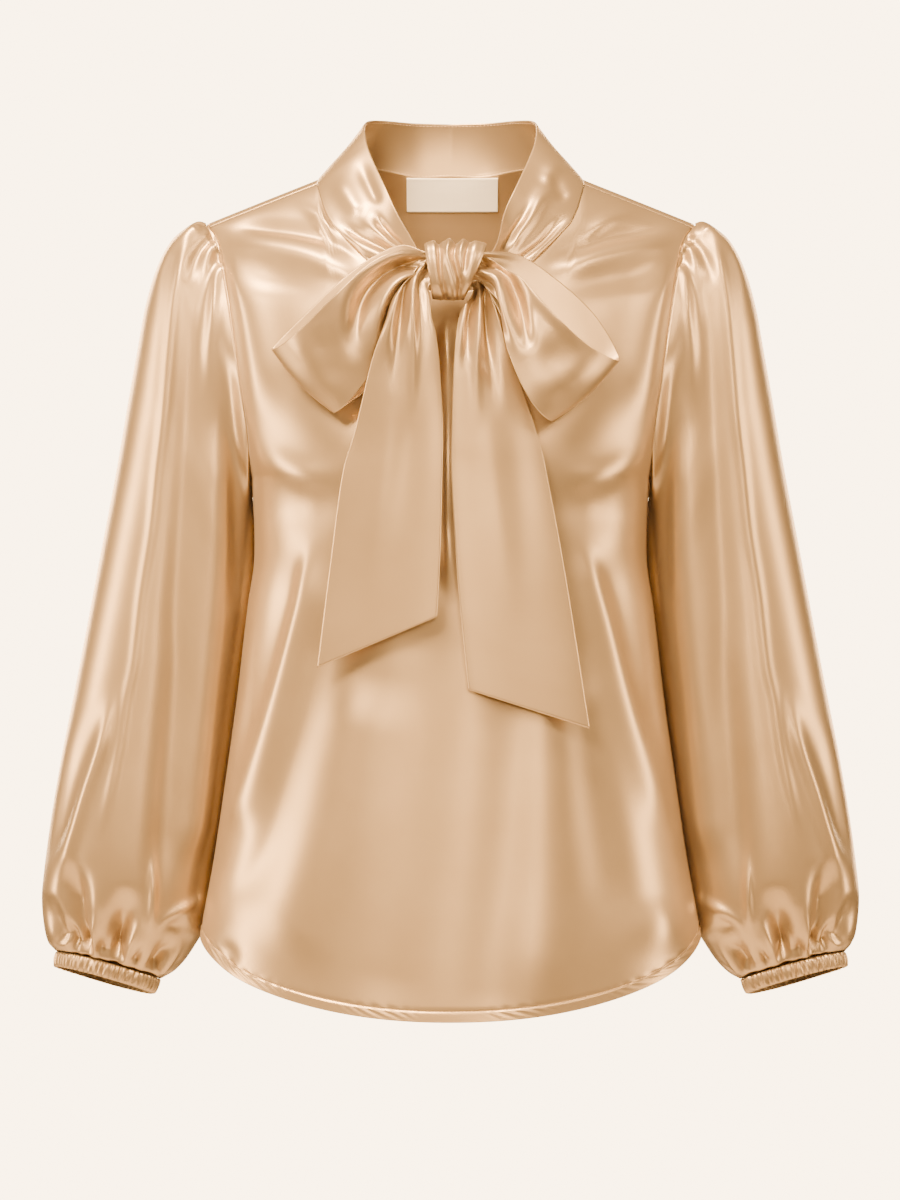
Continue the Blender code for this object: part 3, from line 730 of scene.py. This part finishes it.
# place down the cuff and depth below its outer face, once round its cut edge
CUFF_EDGE = (
    (0, 1), (0.04, 0.35), (0.12, 0.05), (0.4, 0), (0.8, 0), (1.2, 0), (1.6, 0), (1.88, 0.05),
    (1.97, 0.35), (2, 1), (1.9, 1), (1.5, 1), (1, 1), (0.5, 1), (0.1, 1),
)

rib_random = np.random.default_rng(5)
for word, side in (("left", -1), ("right", 1)):
    turns = math.pi - 2 * math.pi * np.arange(CUFF_COLUMNS) / CUFF_COLUMNS
    edge = np.array(CUFF_EDGE)
    turn, place = np.meshgrid(turns, edge[:, 0])
    base = ring_point(CUFF_RINGS, turn, place, side, 1, CUFF_DROP)
    normal = base - base.mean(axis=1, keepdims=True)
    normal[..., 2] = 0
    normal = unit(normal)
    lift = np.zeros(turn.shape)
    for rib in range(RIBS):
        middle = math.pi * (2 * rib / RIBS - 1) + rib_random.uniform(-RIB_SPREAD, RIB_SPREAD)
        middle = middle + rib_random.uniform(-RIB_SLANT, RIB_SLANT) * (place - 1)
        depth = rib_random.uniform(*RIB_DEPTH) * MM
        lift = lift - depth * bump_at(turn, middle, rib_random.uniform(*RIB_WIDTH))
    inward = edge[:, 1:]
    lift = CUFF_LOFT + lift * (1 - (1 - RIB_INSIDE) * inward) - inward * CUFF_THICKNESS
    points = base + normal * lift[..., None]
    points = np.concatenate([points, points[:1]])[:, ::side]
    cuff = cloth("cuff_" + word + "_satin", points, closed=True, thickness=0, material=satin)
    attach(cuff, "root")
    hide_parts("cuff_" + word)

# ----------------------------------------
# Neck band: a doubled, lightly stiffened strip of the same satin, folded at the
# top and sewn to the neckline, whose ends pleat together as they enter the knot.

BAND_SATIN = 0.0012
BAND_LAP = 0.0012  # how far the band laps over the neckline
BAND_ROUND = 0.0016
BAND_HALF_COLUMNS = 110
BAND_ROWS = 40
BAND_SEAM = 0.06  # share of the band's height over which its creases rise from the seam
STITCHED_COLUMNS = (42, 41)  # stitched columns on each side of the middle of the back
CREASES_FROM_Y = -0.005  # the creases begin in front of the shoulder ridge
CREASES_FULL = 0.02
KNOT_Y = -0.118
KNOT_Z = -0.079
# height, x of the knot's left end, x of its right end, in millimetres
KNOT_ENDS = ((-100, -14.5, 11.5), (-90, -16, 16), (-80, -17.5, 20.5), (-70, -19, 24.5), (-59, -20.5, 28))
# place along the neckline, share of the half width, on the back and then on the front
NECKLINE_PLACES = ((0, 0), (1, 0.15), (2, 0.30), (3, 0.43), (4, 0.505), (5, 0.54))
FRONT_PLACES = ((5, 0.54), (6, 0.505), (7, 0.43), (8, 0.30))
LAST_BACK_PLACE = 5
LAST_FRONT_PLACE = 8
# top edge x, y, z in millimetres, from the middle of the back to the front
BAND_TOP = (
    (0, 61, 52), (30, 57, 52.5), (53, 43, 53), (66, 22, 50), (68.5, 6, 42), (66, -10, 28),
    (60, -26, 12), (52, -44, -6), (42, -64, -29),
)
# distance beyond the knot's end, then y, z of the band's base and top edges, in millimetres
BAND_ENDS = (
    (15, -93, -84, 8, -95, -54.5),
    (5.5, -108.5, -88, 3, -108.5, -66),
    (-5, -108.5, -87, -6, -108.5, -67),
)
BAND_CREASES_LEFT = (
    (-4.0, 3, 4, (-92, -34), (-78, -44), (-66, -51), (-48, -60), (-30, -66)),
    (-4.0, 3, 3.4, (-60, -28), (-55, -38), (-45, -50), (-32, -62)),
    (3.4, 4, 5, (-72, -30), (-60, -44), (-44, -57), (-30, -64)),
    (3.4, 6, 6, (-92, -44), (-78, -54), (-60, -64), (-40, -72)),
    (3.0, 10, 10, (-92, 2), (-82, -14), (-70, -34)),
    (-3.0, 4, 5, (-78, -60), (-60, -70), (-40, -75)),
    (-2.4, 6, 6, (-74, 20), (-66, -2), (-56, -24)),
)
BAND_CREASES_RIGHT = (
    (-4.0, 4, 3, (96, -29), (84, -38), (72, -52), (56, -65), (40, -74)),
    (4.0, 7, 7, (86, -2), (70, -20), (60, -38), (42, -62)),
    (-4.0, 3, 3.4, (66, -16), (56, -34), (48, -46), (36, -64)),
    (3.0, 5, 5, (92, -44), (76, -58), (56, -72)),
    (2.4, 8, 8, (86, 20), (80, 4), (74, -8)),
    (-3.0, 4, 4, (74, -62), (58, -70), (42, -76)),
    (-2.0, 6, 6, (78, 10), (84, -8), (92, -20)),
)


def knot_end(side, z):
    """The x of the knot's left or right end at a height."""
    return float(read_table(KNOT_ENDS, np.array(z / MM))[0 if side < 0 else 1]) * MM


def band_half(side):
    """Base and top edges of half the band, from the middle of the back to the knot."""
    places = np.linspace(0, LAST_FRONT_PLACE + len(BAND_ENDS), BAND_HALF_COLUMNS)
    on_back = read_table(NECKLINE_PLACES, places)[..., 0]
    on_front = read_table(FRONT_PLACES, places)[..., 0]
    back_edge = back_point(on_back, back_top(on_back)[0])
    front_edge = front_point(on_front, front_start(on_front))
    mirror = np.array([side, 1, 1])
    tops = [np.array(point) * MM * mirror for point in BAND_TOP]
    shares = np.array(FRONT_PLACES)[1:, 1]
    bases = list(front_point(shares, front_start(shares)) * mirror)
    for ends in BAND_ENDS:
        for edge, (beyond, y, z) in ((bases, ends[:3]), (tops, ends[3:])):
            edge.append(np.array([knot_end(side, z * MM) + side * beyond * MM, y * MM, z * MM]))
    end_edge = read_table([(LAST_BACK_PLACE + 1 + row, *point) for row, point in enumerate(bases)], places)
    neck_edge = np.where(places[:, None] <= LAST_BACK_PLACE, back_edge, front_edge) * mirror
    base = np.where(places[:, None] <= LAST_FRONT_PLACE, neck_edge, end_edge)
    top = read_table([(row, *point) for row, point in enumerate(tops)], places)
    return base - unit(top - base) * BAND_LAP, top


left_base, left_top = band_half(-1)
right_base, right_top = band_half(1)
base_edge = np.concatenate([left_base[::-1], right_base[1:]])
top_edge = np.concatenate([left_top[::-1], right_top[1:]])
down = np.linspace(0, 1, BAND_ROWS)[:, None, None]
base = base_edge[None] + (top_edge - base_edge)[None] * down
normal = outward(base)  # away from the neck, since these rows run upward
in_front = ease((CREASES_FROM_Y - base[..., 1]) / CREASES_FULL)
lift = BAND_ROUND * 4 * down[..., 0] * (1 - down[..., 0])
creases = BAND_CREASES_LEFT + BAND_CREASES_RIGHT
lift = lift + crease_heights(base[..., 0], base[..., 2], creases, fades=(30, 8), spread=-0.35) * in_front
lift = lift * ease(down[..., 0] / BAND_SEAM)
band_points = base + normal * (lift + BAND_SATIN)[..., None]
band = cloth("neck_band_satin", band_points, thickness=BAND_SATIN, material=satin)
at_back = slice(BAND_HALF_COLUMNS - STITCHED_COLUMNS[0], BAND_HALF_COLUMNS + STITCHED_COLUMNS[1])
TOP_STITCH_ROW = -3
SEAM_STITCH_ROW = 1
for name, row, deep in (("band_stitches_inside", TOP_STITCH_ROW, BAND_SATIN),
                        ("band_stitches_outside", TOP_STITCH_ROW, 0),
                        ("band_seam_stitches", SEAM_STITCH_ROW, BAND_SATIN)):
    face = normal[row, at_back]
    trim = stitches(name, band_points[row, at_back] - face * deep, -face if deep else face, thread)
    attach(trim, "root")
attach(band, "root")
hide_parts("neck_band")

# ----------------------------------------
# Knot: one end of the tie wrapped round the middle of the bow and pulled tight,
# so the doubled satin bunches into folds that run round it.

KNOT_COLUMNS = 132
KNOT_ROWS = 84
KNOT_HALF_DEPTH = 0.0172
KNOT_HALF_HEIGHT = 0.0220
KNOT_POWER = 2.6  # squareness of its section
KNOT_ROUND = 0.0012
KNOT_EDGE_ROLL = 0.0010
KNOT_BLEND = 0.4  # how gradually the front folds give way to the back ones
BACK_FOLDS = 7  # folds on the hidden side of the knot
BACK_FOLD_DEPTH = 1.3
BACK_FOLD_WIDTH = 0.035  # as a share of the knot's width, like their places
# Folds of the knot: height, left and right width, then x, z along it, in millimetres
KNOT_CREASES = (
    (-2.6, 1.6, 2.2, (-9, -44), (-9.5, -58), (-8.5, -68), (-8, -82), (-5, -94), (-3, -104)),
    (1.2, 3.4, 2.4, (-14, -46), (-13, -60), (-11, -78), (-8, -94)),
    (2.4, 2.4, 2.0, (-3, -44), (-1, -58), (-2.6, -68), (0, -78), (3, -88), (4, -102)),
    (-2.8, 1.6, 1.8, (3, -46), (4.5, -58), (2.6, -68), (5, -78), (7, -88), (6, -102)),
    (2.0, 2.0, 2.2, (9, -46), (10, -58), (7.5, -68), (9, -78), (10, -90)),
    (-2.0, 1.4, 2.0, (16, -54), (13, -64), (11, -74), (9, -84), (8, -94)),
    (1.4, 3.4, 3.4, (21, -54), (18, -68), (15, -80), (12, -94)),
)


def between_edges(share, width):
    """0 at both edges of a strip, 1 from a share of its width inward."""
    return ease(share / width) * ease((1 - share) / width)


turn, share = np.meshgrid(2 * math.pi * np.arange(KNOT_COLUMNS) / KNOT_COLUMNS, np.linspace(0, 1, KNOT_ROWS))
radius = (np.abs(np.cos(turn)) ** KNOT_POWER + np.abs(np.sin(turn)) ** KNOT_POWER) ** (-1 / KNOT_POWER)
grow = KNOT_ROUND * np.sin(math.pi * share)
y = KNOT_Y - (KNOT_HALF_DEPTH + grow) * radius * np.cos(turn)
z = KNOT_Z + (KNOT_HALF_HEIGHT + grow) * radius * np.sin(turn)
ends = read_table(KNOT_ENDS, z / MM) * MM
x = ends[..., 0] * (1 - share) + ends[..., 1] * share
base = np.stack([x, y, z], axis=-1)
normal = outward(base, closed=True)
# the height along the cloth, which runs on past the top and bottom of the knot round its back
over = np.sign(np.sin(turn)) * (2 - np.abs(np.sin(turn)))
along_cloth = KNOT_Z + KNOT_HALF_HEIGHT * np.where(np.cos(turn) >= 0, np.sin(turn), over)
lift = crease_heights(x, along_cloth, KNOT_CREASES, fades=(6, 6)) * ease((np.cos(turn) + 0.45) / KNOT_BLEND)
at_back = ease((0.1 - np.cos(turn)) / KNOT_BLEND)
for fold in range(BACK_FOLDS):
    middle = 0.1 + 0.13 * fold + 0.03 * math.sin(5.1 * fold) + 0.02 * np.sin(turn + fold)
    lift = lift - BACK_FOLD_DEPTH * MM * np.exp(-((share - middle) / BACK_FOLD_WIDTH) ** 2) * at_back
edge_roll = KNOT_EDGE_ROLL * (between_edges(share, 0.05) - 1)
knot = cloth("bow_knot_satin", base + normal * (lift + edge_roll)[..., None], closed=True, material=satin)
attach(knot, "root")
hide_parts("bow_knot")

# ----------------------------------------
# Loops: each a doubled strip of the satin that leaves the knot in front, turns
# over at the tip and comes back behind, gathered small where it enters the knot.

LOOP_ROWS = 150
LOOP_COLUMNS = 76
LOOP_BULGE = 0.004
TIE_SATIN = 0.0008
STRIP_STEPS = 400  # steps in which a strip's length is measured
FRONT_LAYER_ENDS = 6.6  # place in the table below, near the tip
PLEATS_END = 2.2  # places from the knot
KNOT_PLEATS = (0.9, 34, 0.7)  # height in millimetres, turns across the strip in radians, offset
RIPPLE = (0.3, 19)  # height in millimetres, turns across the strip in radians
RIPPLE_ENDS = 4.5
# x, y, z of the upper edge, then of the lower edge, in millimetres, from the knot along
# the front layer to the tip, and back along the hidden layer
LOOP_LEFT = (
    (-13, -122, -67, -11, -122, -87), (-21, -123, -65, -18, -122.5, -88),
    (-39, -134, -64, -30, -127, -102), (-62, -140, -74, -41, -129, -121),
    (-89, -142, -99, -51, -130, -145), (-116, -130, -125, -68, -130, -168),
    (-131, -116, -136, -82, -127, -184), (-139, -104, -139, -90, -120, -189),
    (-132, -101, -130, -84, -117, -185), (-117, -101, -115, -76, -116, -180),
    (-90, -102, -89, -62, -116, -168), (-63, -102, -68, -46, -116, -146),
    (-39, -106, -58, -31, -115, -115), (-22, -113.5, -63, -18.5, -114.5, -88),
    (-13, -115, -66, -11, -115, -87),
)
LOOP_RIGHT = (
    (17, -125.5, -70, 12.5, -125.5, -86), (28, -125.5, -69.5, 22, -126, -87),
    (42, -134, -78, 32, -135, -101), (56, -140, -89, 38, -141, -117),
    (81, -146, -117, 45, -146, -144), (108, -138, -139, 57, -148, -173),
    (125, -124, -147, 69, -144, -190), (131, -112, -147, 78, -135, -196),
    (126, -105, -133, 73, -129, -189), (109, -102, -108, 62, -128, -164),
    (81, -102, -83, 46, -127, -129), (54, -107, -66, 34, -122.5, -103),
    (30, -117, -64, 23.5, -119, -88), (17, -119, -66, 12.5, -119, -87),
)
LOOP_CREASES_LEFT = (
    (-12, 6, 4, (-22, -73), (-41, -78), (-55, -87), (-65, -100), (-71, -116), (-74, -134), (-76, -154)),
    (6, 3.0, 2.6, (-24, -80), (-39, -85), (-50, -97), (-56, -114), (-59, -134), (-62, -150)),
    (-7, 2.2, 2.2, (-22, -84), (-36, -92), (-44, -106), (-50, -122), (-52, -136)),
    (3.5, 4, 5, (-20, -67), (-44, -70), (-62, -80), (-78, -94)),
    (-3, 1.5, 2, (-18, -69), (-32, -73), (-42, -77)),
)
LOOP_CREASES_RIGHT = (
    (-10, 3.5, 3.5, (18, -71), (40, -79), (49, -93), (54, -111), (58, -132), (60, -146)),
    (5, 2.4, 2.8, (16, -78), (36, -86), (41, -104), (46, -125), (55, -152)),
    (-7, 2.2, 2.4, (16, -83), (29, -91), (34, -106), (37, -121), (42, -142)),
    (4.5, 4, 5, (22, -69), (50, -83), (68, -102), (90, -126), (104, -142)),
)
LOOP_TIP_LEFT = (
    (1.4, 12, 14, (-134, -126), (-112, -142), (-96, -166), (-90, -186)),
    (-2.2, 11, 12, (-104, -120), (-96, -146), (-88, -180)),
)
LOOP_TIP_RIGHT = (
    (-2.2, 14, 15, (66, -132), (84, -148), (112, -156)),
    (1.8, 13, 14, (112, -146), (90, -162), (68, -184)),
)


def strip(edges, rows, columns, bulge):
    """Points of a strip between two smooth edges, evenly spaced along it."""
    table = [(row, *edge) for row, edge in enumerate(edges)]
    fine = np.linspace(0, len(edges) - 1, STRIP_STEPS)
    pair = read_table(table, fine)
    length = running_total(np.linalg.norm(np.diff(pair[:, :3] + pair[:, 3:], axis=0), axis=1))
    places = np.interp(np.linspace(0, length[-1], rows), length, fine)
    sides = read_table(table, places) * MM
    across = np.linspace(0, 1, columns)[None, :, None]
    base = sides[:, None, :3] * (1 - across) + sides[:, None, 3:] * across
    swell = bulge * np.sin(math.pi * places / (len(edges) - 1))[:, None] * np.sin(math.pi * across[..., 0])
    return places, base + outward(base) * swell[..., None]


for word, edges, creases, at_tip, sign in (
        ("left", LOOP_LEFT, LOOP_CREASES_LEFT, LOOP_TIP_LEFT, 1),
        ("right", LOOP_RIGHT, LOOP_CREASES_RIGHT, LOOP_TIP_RIGHT, -1)):
    places, base = strip(edges, LOOP_ROWS, LOOP_COLUMNS, sign * LOOP_BULGE)
    normal = outward(base) * sign
    on_front = ease((FRONT_LAYER_ENDS - places) / 1.2)[:, None]
    from_knot = np.minimum(places, len(edges) - 1 - places)[:, None]
    across = np.linspace(0, 1, LOOP_COLUMNS)[None, :]
    lift = crease_heights(base[..., 0], base[..., 2], creases, fades=(8, 50), spread=0.8)
    lift = (lift + crease_heights(base[..., 0], base[..., 2], at_tip, fades=(25, 25))) * on_front
    pleats = KNOT_PLEATS[0] * MM * np.cos(across * KNOT_PLEATS[1] + KNOT_PLEATS[2])
    lift = lift + pleats * ease((PLEATS_END - from_knot) / PLEATS_END) * between_edges(across, 0.1)
    ripple = RIPPLE[0] * MM * np.cos(across * RIPPLE[1] + places[:, None])
    lift = lift + ripple * ease((RIPPLE_ENDS - places) / 3)[:, None]
    points = (base + normal * (lift + TIE_SATIN)[..., None])[:, ::sign]
    loop = cloth("bow_loop_" + word + "_satin", points, thickness=TIE_SATIN, material=satin)
    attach(loop, "root")
    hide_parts("bow_loop_" + word)

# ----------------------------------------
# Tails: the two free ends of the tie, doubled satin with pressed edges, pleated
# where they leave the knot and cut off at a slant.

TAIL_ROWS = 170
TAIL_COLUMNS = 60
TAIL_LOFT = 1.6  # fullness between the pressed edges, in millimetres
PRESSED_EDGE = 0.04
# x, y, z of the left edge, then of the right edge, in millimetres, knot to end
TAIL_LEFT = (
    (-13, -127, -71, -10.5, -127, -87), (-21, -128, -72, -17, -128, -91),
    (-31, -136, -85, -15.3, -131, -101), (-44, -140, -100, -14.7, -134, -114),
    (-51, -141, -121, -11, -135, -130), (-61, -138, -150, -8, -135, -157),
    (-74, -131, -203, -6, -134, -202), (-84, -128, -238, -6.5, -133, -240),
    (-94, -124, -311, -8, -131, -300), (-103.5, -122, -387, -10.5, -130, -347.5),
)
TAIL_RIGHT = (
    (9.5, -113, -88, 13.5, -113, -74), (17.5, -114.5, -91.5, 25.5, -113.5, -76),
    (16.5, -119.5, -99, 30, -117.5, -94), (9, -127, -108, 36, -120, -112),
    (4.7, -131, -125, 42, -121, -130), (2.4, -132, -157, 51, -121, -157),
    (0.6, -130, -210, 68, -121, -208), (0.8, -129, -242, 75.5, -120, -240),
    (5.8, -128, -322, 90, -118, -318), (14, -127, -404, 108.4, -116, -434.5),
)
TAIL_CREASES_LEFT = (
    (-7.5, 2.2, 2.6, (-22, -73), (-33, -88), (-36.5, -106), (-41, -135), (-45, -178)),
    (4.5, 2.2, 2.0, (-20, -72), (-29, -86), (-30.5, -106), (-28.5, -144), (-30, -205)),
    (3.5, 2.4, 2.4, (-27, -76), (-41, -97), (-48, -122), (-56, -160)),
    (-5, 2.2, 2.6, (-15, -73), (-22, -88), (-22.5, -108), (-20, -150)),
)
TAIL_SOFT_CREASES_LEFT = (
    (1.0, 10, 11, (-36, -140), (-46, -200), (-56, -270), (-66, -350)),
    (-1.2, 12, 12, (-26, -150), (-32, -220), (-40, -300)),
)
TAIL_CREASES_RIGHT = (
    (-6.5, 1.6, 1.8, (19, -86), (19, -96), (15, -115), (13, -135), (9.5, -160)),
    (2.6, 1.6, 1.6, (15, -90), (12, -102), (9, -120), (6, -150)),
    (-7.5, 2.4, 2.6, (25, -82), (27, -98), (29, -125), (31, -150), (37, -195)),
    (4.5, 2.4, 2.2, (22, -84), (22, -100), (21, -125), (20, -155), (22, -205)),
    (3.8, 2.2, 2.8, (29, -84), (34, -104), (41, -128), (51, -168)),
)
TAIL_SOFT_CREASES_RIGHT = (
    (1.0, 10, 11, (26, -150), (36, -250), (50, -370)),
    (-1.3, 14, 14, (44, -150), (52, -230), (64, -330)),
)

for word, edges, creases, soft_creases, width, length in (
        ("left", TAIL_LEFT, TAIL_CREASES_LEFT, TAIL_SOFT_CREASES_LEFT, 0.095, 0.33),
        ("right", TAIL_RIGHT, TAIL_CREASES_RIGHT, TAIL_SOFT_CREASES_RIGHT, 0.095, 0.37)):
    places, base = strip(edges, TAIL_ROWS, TAIL_COLUMNS, 0)
    across = np.linspace(0, 1, TAIL_COLUMNS)[None, :]
    lift = crease_heights(base[..., 0], base[..., 2], creases, fades=(8, 80), spread=1.0)
    lift = lift + crease_heights(base[..., 0], base[..., 2], soft_creases, fades=(90, 90))
    lift = lift + TAIL_LOFT * MM * (1 - (2 * across - 1) ** 4) * ease(places / 3)[:, None]
    points = base + outward(base) * (lift * between_edges(across, PRESSED_EDGE))[..., None]
    tail = cloth("tie_tail_" + word + "_satin", points, thickness=TIE_SATIN, material=satin)
    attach(tail, "root")
    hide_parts("tie_tail_" + word)

# ----------------------------------------
# Neck label: a bare piece of close-woven ivory ribbon, sewn by its ends inside
# the back of the neck.

LABEL_SIZE = (0.074, 0.027)
LABEL_CENTRE_X = 0.0015
LABEL_TOP_Z = 0.0080
LABEL_AIR = 0.0030
LABEL_BOW = 0.0008
LABEL_THICKNESS = 0.0006
LABEL_GRID = (60, 24)
RIBBON_THREAD = 0.982  # spacing of the threads in millimetres, twice the real one


def woven_ribbon():
    """Ivory polyester ribbon: a matt close weave, its threads drawn twice their real size."""
    material, tree = empty_material("woven_ribbon_ivory")
    place = add_node(tree, "ShaderNodeUVMap", {"uv_map": "cloth"}).outputs["UV"]
    weave = add_node(tree, "ShaderNodeMath", {"operation": "ADD"})
    for socket, direction in enumerate("XY"):
        threads = add_node(tree, "ShaderNodeTexWave", {
            "bands_direction": direction, "Scale": WAVE_SPAN / (RIBBON_THREAD * MM),
        }, {"Vector": place})
        tree.links.new(threads.outputs["Fac"], weave.inputs[socket])
    bump = add_node(tree, "ShaderNodeBump", {"Strength": 0.3, "Distance": 0.0003},
                    {"Height": weave.outputs["Value"]})
    shader = add_node(tree, "ShaderNodeBsdfPrincipled", {
        "Base Color": linear("#FFFFF8"), "Roughness": 0.6, "Sheen Weight": 0.2,
    }, {"Normal": bump.outputs["Normal"]})
    add_node(tree, "ShaderNodeOutputMaterial", None, {"Surface": shader.outputs["BSDF"]})
    return material


across, down = np.meshgrid(np.linspace(-0.5, 0.5, LABEL_GRID[0]), np.linspace(0, 1, LABEL_GRID[1]))
x = LABEL_CENTRE_X + LABEL_SIZE[0] * across
z = LABEL_TOP_Z - LABEL_SIZE[1] * down
behind = back_point(x / SHOULDER_X, np.full(x.shape, math.pi), z)[..., 1]
bow_out = LABEL_BOW * np.cos(math.pi * across) * np.sin(math.pi * down)
label_points = np.stack([x, behind - LABEL_AIR - bow_out, z], axis=-1)
label = cloth("neck_label_ribbon", label_points, thickness=LABEL_THICKNESS, material=woven_ribbon())
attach(label, "root")
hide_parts("neck_label")

# ----------------------------------------
# Studio: a pale floor below the garment, soft light from large panels, and a
# camera straight in front.

FLOOR_REACH = 2.6
FLOOR_Z = -2.6
floor_mesh = bpy.data.meshes.new("floor")
floor_places = [(x * FLOOR_REACH, y * FLOOR_REACH, FLOOR_Z) for x, y in ((-1, -1), (1, -1), (1, 1), (-1, 1))]
floor_mesh.from_pydata(floor_places, [], [(0, 1, 2, 3)])
floor = put("floor", floor_mesh)
paper, tree = empty_material("pale_paper")
shader = add_node(tree, "ShaderNodeBsdfPrincipled", {"Base Color": linear("#F3EEE8"), "Roughness": 0.9})
add_node(tree, "ShaderNodeOutputMaterial", None, {"Surface": shader.outputs["BSDF"]})
floor_mesh.materials.append(paper)

world = bpy.data.worlds.new("studio")
bpy.context.scene.world = world
world.use_nodes = True
tree = world.node_tree
tree.nodes.clear()
seen = add_node(tree, "ShaderNodeBackground", {"Color": linear("#FFE2BB"), "Strength": 8.8})
glow = add_node(tree, "ShaderNodeBackground", {"Color": linear("#F6E8DA"), "Strength": 0.03})
to_camera = add_node(tree, "ShaderNodeLightPath").outputs["Is Camera Ray"]
mixed = add_node(tree, "ShaderNodeMixShader", None, {"Fac": to_camera})
tree.links.new(glow.outputs["Background"], mixed.inputs[1])
tree.links.new(seen.outputs["Background"], mixed.inputs[2])
add_node(tree, "ShaderNodeOutputWorld", None, {"Surface": mixed.outputs["Shader"]})

# name; place x, y, z; width, height; power in watts
LIGHTS = (
    ("key", (-0.76, -1.32, 2.96), (1.0, 1.0), 560),
    ("front_left", (-1.2, -2.9, 1.5), (0.9, 0.9), 255),
    ("front_right", (1.7, -2.8, 1.4), (0.9, 0.9), 80),
    ("front", (0.3, -3.5, 0.3), (0.9, 0.9), 56),
    ("side_left", (-3.55, -0.63, -0.3), (0.8, 2.2), 190),
    ("side_right", (3.55, -0.63, -0.3), (0.8, 2.2), 125),
    ("back_left", (-1.8, 3.2, 0.6), (1.2, 2.2), 190),
    ("back_right", (1.8, 3.2, 0.4), (1.2, 2.2), 120),
)
aim = Vector((0, 0, -0.3))
for name, place, size, power in LIGHTS:
    data = bpy.data.lights.new(name, "AREA")
    data.shape = "RECTANGLE"
    data.size = size[0]
    data.size_y = size[1]
    data.energy = power
    data.color = linear("#FFD3A0")[:3]
    lamp = put(name, data)
    lamp.location = place
    lamp.rotation_euler = (aim - Vector(place)).to_track_quat("-Z", "Y").to_euler()

CAMERA_PLACE = (-0.0004, -4.0, -0.3344)
VIEW_HEIGHT = 0.96  # height of what the camera sees at the middle of the blouse
SENSOR = 36
camera_data = bpy.data.cameras.new("camera")
camera_data.sensor_width = SENSOR
camera_data.lens = SENSOR * -CAMERA_PLACE[1] / VIEW_HEIGHT
camera = put("camera", camera_data)
camera.location = CAMERA_PLACE
camera.rotation_euler = (math.pi / 2, 0, 0)
bpy.context.scene.camera = camera
